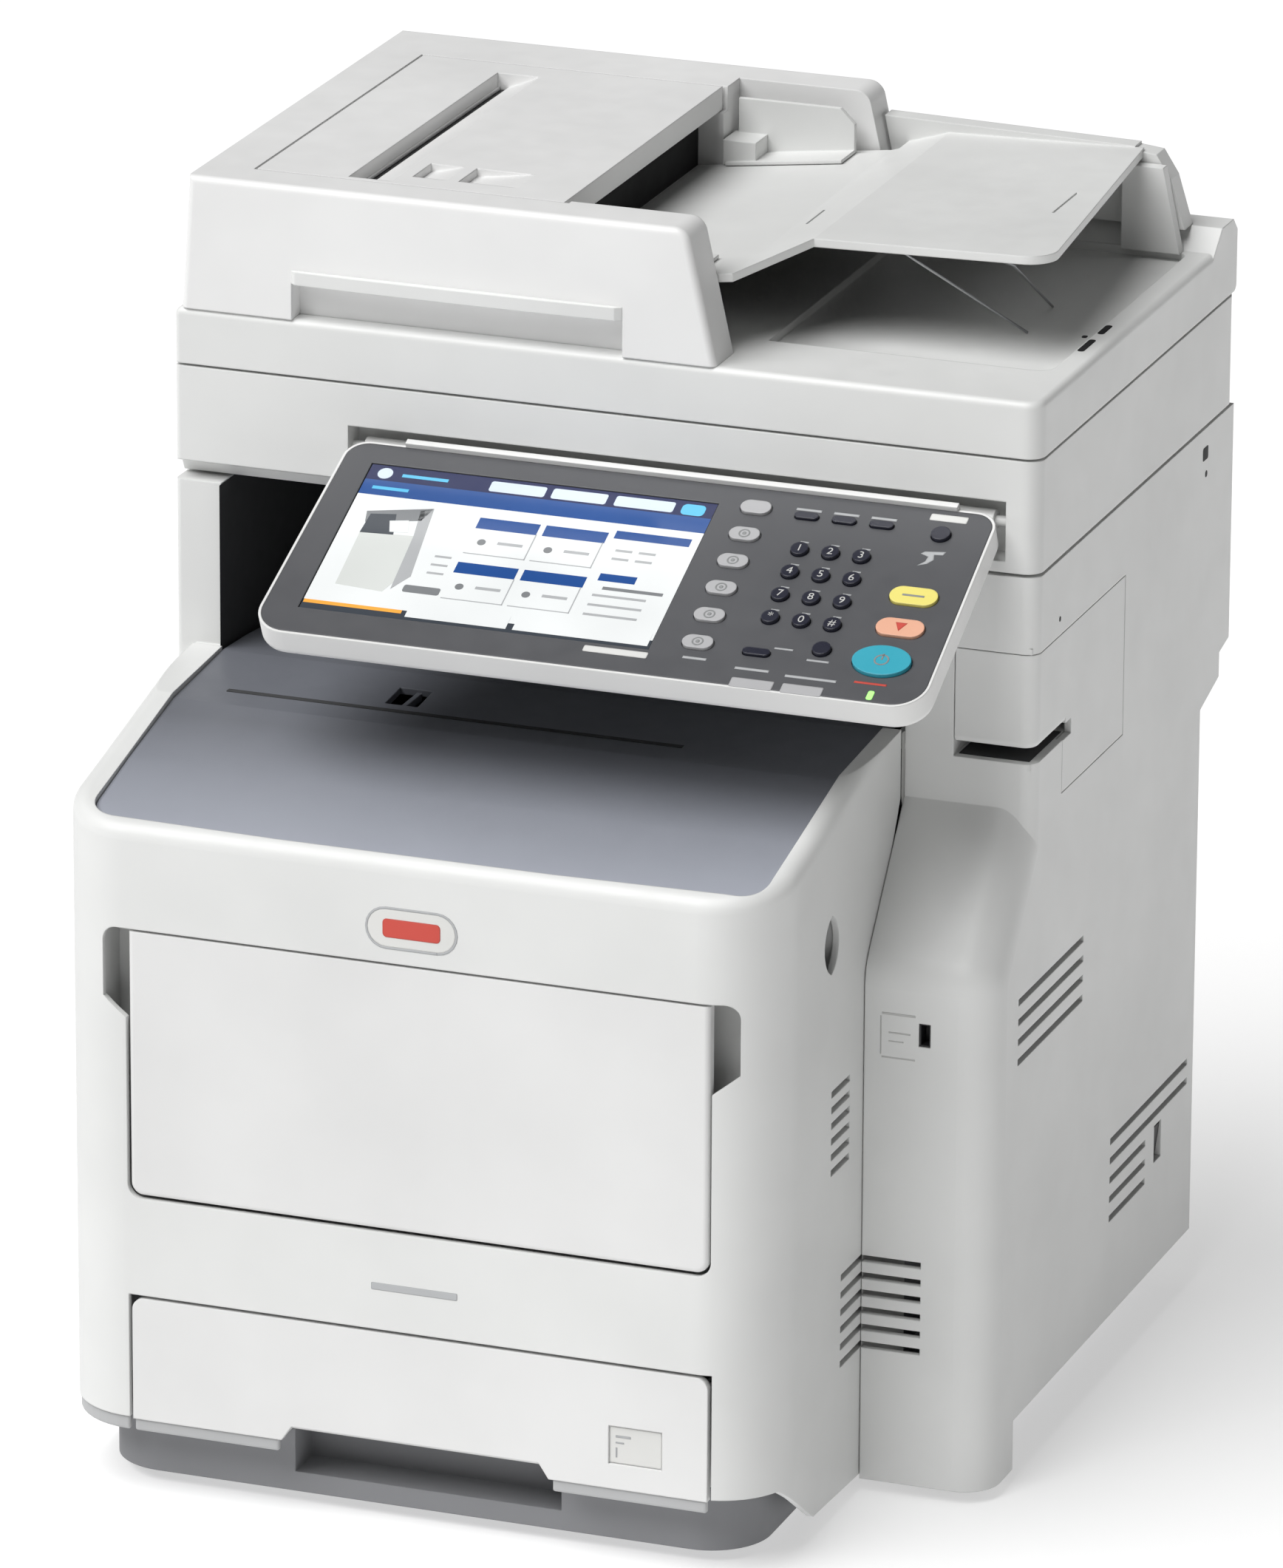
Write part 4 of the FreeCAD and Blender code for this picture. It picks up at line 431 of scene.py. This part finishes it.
for line in range(1, 6):
    x, y = function_spot(line)
    solid(f"function_{line + 1}_mark", [ring(x, y, 3.4, 2.5), bar(x - 1.2, y - 1.2, x + 1.2, y + 1.2, 1)],
          *PAD_TOP, PANEL, INK_GREY, f"function_{line + 1}_button", "key_dark")
solid("reset_mark", [bar(205, -76, 218, -74.5)], *PAD_TOP, PANEL, INK_GREY, "reset_button", "key_dark")
solid("stop_mark", [[(208.6, -98), (215.6, -98), (212.1, -105)]], *PAD_TOP, PANEL, INK_RED, "stop_button",
      "key_orange")
x, y = START_KEY
solid("start_mark", [ring(x, y, 4.4, 3.4), bar(x - 0.5, y, x + 0.5, y + 5)], *OVAL_TOP, PANEL, INK_GREY,
      "start_button", "key_dark")

DIGIT_KEYS = (("1", "1"), ("2", "2"), ("3", "3"), ("4", "4"), ("5", "5"), ("6", "6"), ("7", "7"), ("8", "8"),
              ("9", "9"), ("star", "*"), ("0", "0"), ("hash", "#"))
for count, (name, sign) in enumerate(DIGIT_KEYS):
    x, y = digit_spot(count % 3, count // 3)
    letter = bpy.data.curves.new(f"digit_{name}_sign", "FONT")
    letter.body, letter.size, letter.extrude = sign, SIGN_SIZE * MM, SIGN_THICKNESS * MM
    letter.align_x, letter.align_y = "CENTER", "CENTER"
    place_piece(f"digit_{name}_sign", letter, PANEL @ Matrix.Translation((x * MM, y * MM, DOME_TOP * MM)),
                INK_WHITE, f"digit_{name}_button")


# ------------------------------------------------------------------ badge and labels, without lettering

# faces that they lie on, as distances to the front from the middle
FRONT_FACE = 289.0
CASSETTE_RECESS = 287.5
BOX_FACE = 135.0

badge_edge = bar(-58, 351.5, -2.6, 376.5, 12.4)
badge_field = bar(-56.6, 352.9, -4, 375.1, 11)
solid("badge_rim", [hoop(badge_edge, badge_field)], FRONT_FACE - 0.2, FRONT_FACE + 0.15, FRONT, INK,
      "front_door", "casing")
solid("badge_plate", [badge_field], FRONT_FACE - 0.2, FRONT_FACE + 0.1, FRONT, INK_WHITE,
      "front_door", "casing")
solid("badge_bar", [bar(-47.5, 358.5, -13, 369.5, 2.5)], FRONT_FACE + 0.05, FRONT_FACE + 0.25, FRONT, INK_RED,
      "front_door", "key_orange")
solid("cover_line", [bar(-55, 146.8, -3, 151.2, 0.8)], FRONT_FACE - 0.2, FRONT_FACE + 0.1, FRONT, INK,
      "front_door", "key_light")
solid("cassette_plate", [bar(88.6, 62.6, 119.4, 84.4, 1)], CASSETTE_RECESS - 0.1, CASSETTE_RECESS + 0.6,
      FRONT, INK_WHITE, "cassette", "casing", 0.2)
solid("cassette_plate_bars", [bar(92, 78, 101, 79.4), bar(92, 74.4, 97, 75.4), bar(92, 66, 93, 72)],
      CASSETTE_RECESS + 0.55, CASSETTE_RECESS + 0.7, FRONT, INK, "cassette", "key_light")
# painted shade: faint grey lines stand for the shaded edges of a moulded port outline on the box's front
solid("port_outline", [
    bar(194, 292, 214, 293.4), bar(194, 266, 214, 267), bar(193, 268, 193.8, 291),
    bar(198, 281, 211, 282), bar(198, 276, 207, 276.8)],
    BOX_FACE - 0.1, BOX_FACE + 0.05, FRONT, RELIEF_PAINTED_SHADE, "engine", "casing")


# ------------------------------------------------------------------ sheets of painted shade in the deep gaps

def liner(name, outlines, low, high, place, look, body):
    """A thin dark sheet of painted shade, which makes a deep gap as dark as the shade between real covers."""
    return solid(name, outlines, low, high, place, look, body, "dark_plastic")


# painted shade on the walls of the output cavity, in the throat that sheets leave by, and in the stapler's
# slot
liner("cavity_side_painted_shade", [bar(-74, 432, 108, 537)], -232.95, -232.7, SIDE, SHADE_GREY, "engine")
liner("cavity_wall_painted_shade", [bar(-221, 443, 166, 454.6), bar(-221, 476.4, 166, 535)],
      -108.9, -108.6, FRONT, SHADE, "engine")
liner("exit_throat_painted_shade", [bar(-205, 455.4, 150, 475.6)], -150.2, -150, FRONT, SHADE, "engine")
liner("stapler_slot_painted_shade", [bar(214, -66, 256, -9)], 427.6, 427.8, FLAT, SHADE_GREY, "engine")

# painted shade on the feeder wall below the document tray, in the gap that originals enter by, and on the
# shaded side of the tray
liner("feeder_wall_painted_shade", [bar(-35, 652, 208, 663.5)], -29.9, -29.7, SIDE, SHADE, "lid")
liner("feed_gap_painted_shade", [bar(-40, 672, 208, 704)], -46, -45, SIDE, SHADE, "lid")
liner("tray_under_painted_shade", [[
    (-27, 669.0), (66, 680.6), (96, 690.1), (160, 691.7),
    (160, 691.4), (96, 689.8), (66, 680.3), (-27, 668.7)]], -233, -18, FRONT, SHADE, "lid")

# wall that shows through the seam between the front cover and the right cover, in a mid grey that is painted
# shade of the seam
solid("cover_gap_filler", [[
    (-133.3, 14), (-133.3, 314), (-127, 327), (-73.5, 395),
    (-75.4, 402), (-75.4, 439), (-60, 439), (-60, 14)]], 183.08, 183.5, SIDE, SEAM_PAINTED_SHADE, "engine", "casing")


# ------------------------------------------------------------------ small moulded details

COLUMN_FACE = 261.0
LID_TOP = 640.0

# painted shade: dark grey marks stand for the shaded hollows of a screw hole and of a catch on the column
solid("column_screw", [bar(-31.6, 500.4, -28.6, 503.6, 1.4)], COLUMN_FACE - 0.1, COLUMN_FACE + 0.1, SIDE,
      SHADE_GREY, "engine", "dark_plastic")
solid("column_catch", [bar(231, 518, 241, 526, 1.5), bar(236, 507, 240, 511, 1.8)],
      COLUMN_FACE - 0.1, COLUMN_FACE + 0.1, SIDE, SHADE_GREY, "engine", "dark_plastic")
solid("handle_lip", [[
    (-189, -71.2), (-186, -73.6), (-150, -74.8), (-88, -75.4), (-27, -74.8), (8, -73.6), (12, -71.2),
    (12, -70.6), (-189, -70.6)]], 661.5, 669.5, FLAT, CASING, "lid", "casing", 1.6)
solid("lid_stops", [bar(247, 34, 251, 58, 1.8), bar(247, 70, 251, 88, 1.8), bar(241, 60, 244, 64, 1)],
      LID_TOP - 0.1, LID_TOP + 0.25, FLAT, SHADE, "lid", "dark_plastic")
solid("tray_marks", [bar(74, 62, 75.2, 92)], 688.6, 688.9, FLAT, INK_GREY, "lid", "tray_grey")

# turned-in lower lips of the front cover, round its left corner, and of the cassette; their grey, darker than
# the casing, is painted shade on faces that turn down
LIP_LOW = 39.5
CORNER = (-205, -245)
cover_turn = (arc(*CORNER, 43, 180, 10) + [(-203.4, -288), (-203.4, -284)]
              + arc(*CORNER, 39, 180, 10)[::-1])
solid("cover_lip", [cover_turn], LIP_LOW, 48.3, FLAT, LIP, "front_door", "casing", 1.5)
solid("cassette_lip", [bar(-200.4, -288, -112, -284), bar(54, -288, 146.4, -284)],
      LIP_LOW, 47.3, FLAT, LIP, "cassette", "casing", 1.5)
# a painted shadow along the step across the output tray
solid("step_shadow", [bar(-205, -133, 72, -129)], 434.3, 434.9, FLAT, SHADE_GREY, "top_tray", "dark_plastic")

# thin wires that stay the document tray on the lid
STAY_RADIUS = 0.8
wire("tray_stay_front", [(140, 30, 690.5), (150, 36, 682), (205, 72, 635.6)],
     STAY_RADIUS, SHAFT, "lid")
wire("tray_stay_rear", [(208, 20, 692), (207, 40, 684), (202, 126, 635.6)],
     STAY_RADIUS, SHAFT, "lid")


# ------------------------------------------------------------------ camera, floor and light

def look_from(azimuth, pitch, roll, place, lens):
    """A camera at place in metres, turned by azimuth and pitched down, with angles in degrees."""
    a, e, r = (math.radians(value) for value in (azimuth, pitch, roll))
    back = Vector((math.sin(a) * math.cos(e), -math.cos(a) * math.cos(e), math.sin(e)))
    right = Vector((math.cos(a), math.sin(a), 0))
    up = back.cross(right)
    turned_right = math.cos(r) * right + math.sin(r) * up
    turned_up = -math.sin(r) * right + math.cos(r) * up
    camera = bpy.data.objects.new("camera", bpy.data.cameras.new("camera"))
    bpy.context.scene.collection.objects.link(camera)
    turned = Matrix((turned_right, turned_up, back)).transposed().to_4x4()
    camera.matrix_world = Matrix.Translation(place) @ turned
    camera.data.sensor_width = 36
    camera.data.lens = lens
    camera.data.clip_start, camera.data.clip_end = 0.1, 100
    bpy.context.scene.camera = camera


def sun(name, direction, strength, spread):
    """Light from a wide patch of sky; direction points from the object to the light."""
    light = bpy.data.lights.new(name, "SUN")
    light.energy, light.angle = strength, math.radians(spread)
    lamp = bpy.data.objects.new(name, light)
    bpy.context.scene.collection.objects.link(lamp)
    lamp.rotation_euler = Vector(direction).to_track_quat("Z", "Y").to_euler()


look_from(azimuth=20.33, pitch=19.01, roll=0.29, place=Vector((2.2406, -6.0509, 2.5844)), lens=271.57)

# a pale floor that glows a little, so that the object stands on white with a faint shadow
FLOOR_REACH = 30
FLOOR_GLOW = 0.50
floor_mesh = bpy.data.meshes.new("floor")
floor_mesh.from_pydata([(-FLOOR_REACH, -FLOOR_REACH, 0), (FLOOR_REACH, -FLOOR_REACH, 0),
                        (FLOOR_REACH, FLOOR_REACH, 0), (-FLOOR_REACH, FLOOR_REACH, 0)], [], [(0, 1, 2, 3)])
floor = bpy.data.objects.new("floor", floor_mesh)
bpy.context.scene.collection.objects.link(floor)
floor_paint = plastic("floor_paint", (0.56, 0.56, 0.56), rough=0.9, grain=200.0, bump=0.02, drift=0.0)
floor_shader = floor_paint.node_tree.nodes["Principled BSDF"]
floor_shader.inputs["Emission Color"].default_value = (1, 1, 1, 1)
floor_shader.inputs["Emission Strength"].default_value = FLOOR_GLOW
floor_mesh.materials.append(floor_paint)

SKY_STRENGTH = 0.10
sun("softbox", direction=(-0.36, -0.47, 0.92), strength=3.3, spread=50)
world = bpy.data.worlds.new("studio")
bpy.context.scene.world = world
world.use_nodes = True
sky = world.node_tree.nodes["Background"]
sky.inputs["Color"].default_value = (1.0, 1.0, 1.0, 1)
sky.inputs["Strength"].default_value = SKY_STRENGTH
bpy.context.scene.view_settings.view_transform = "Standard"
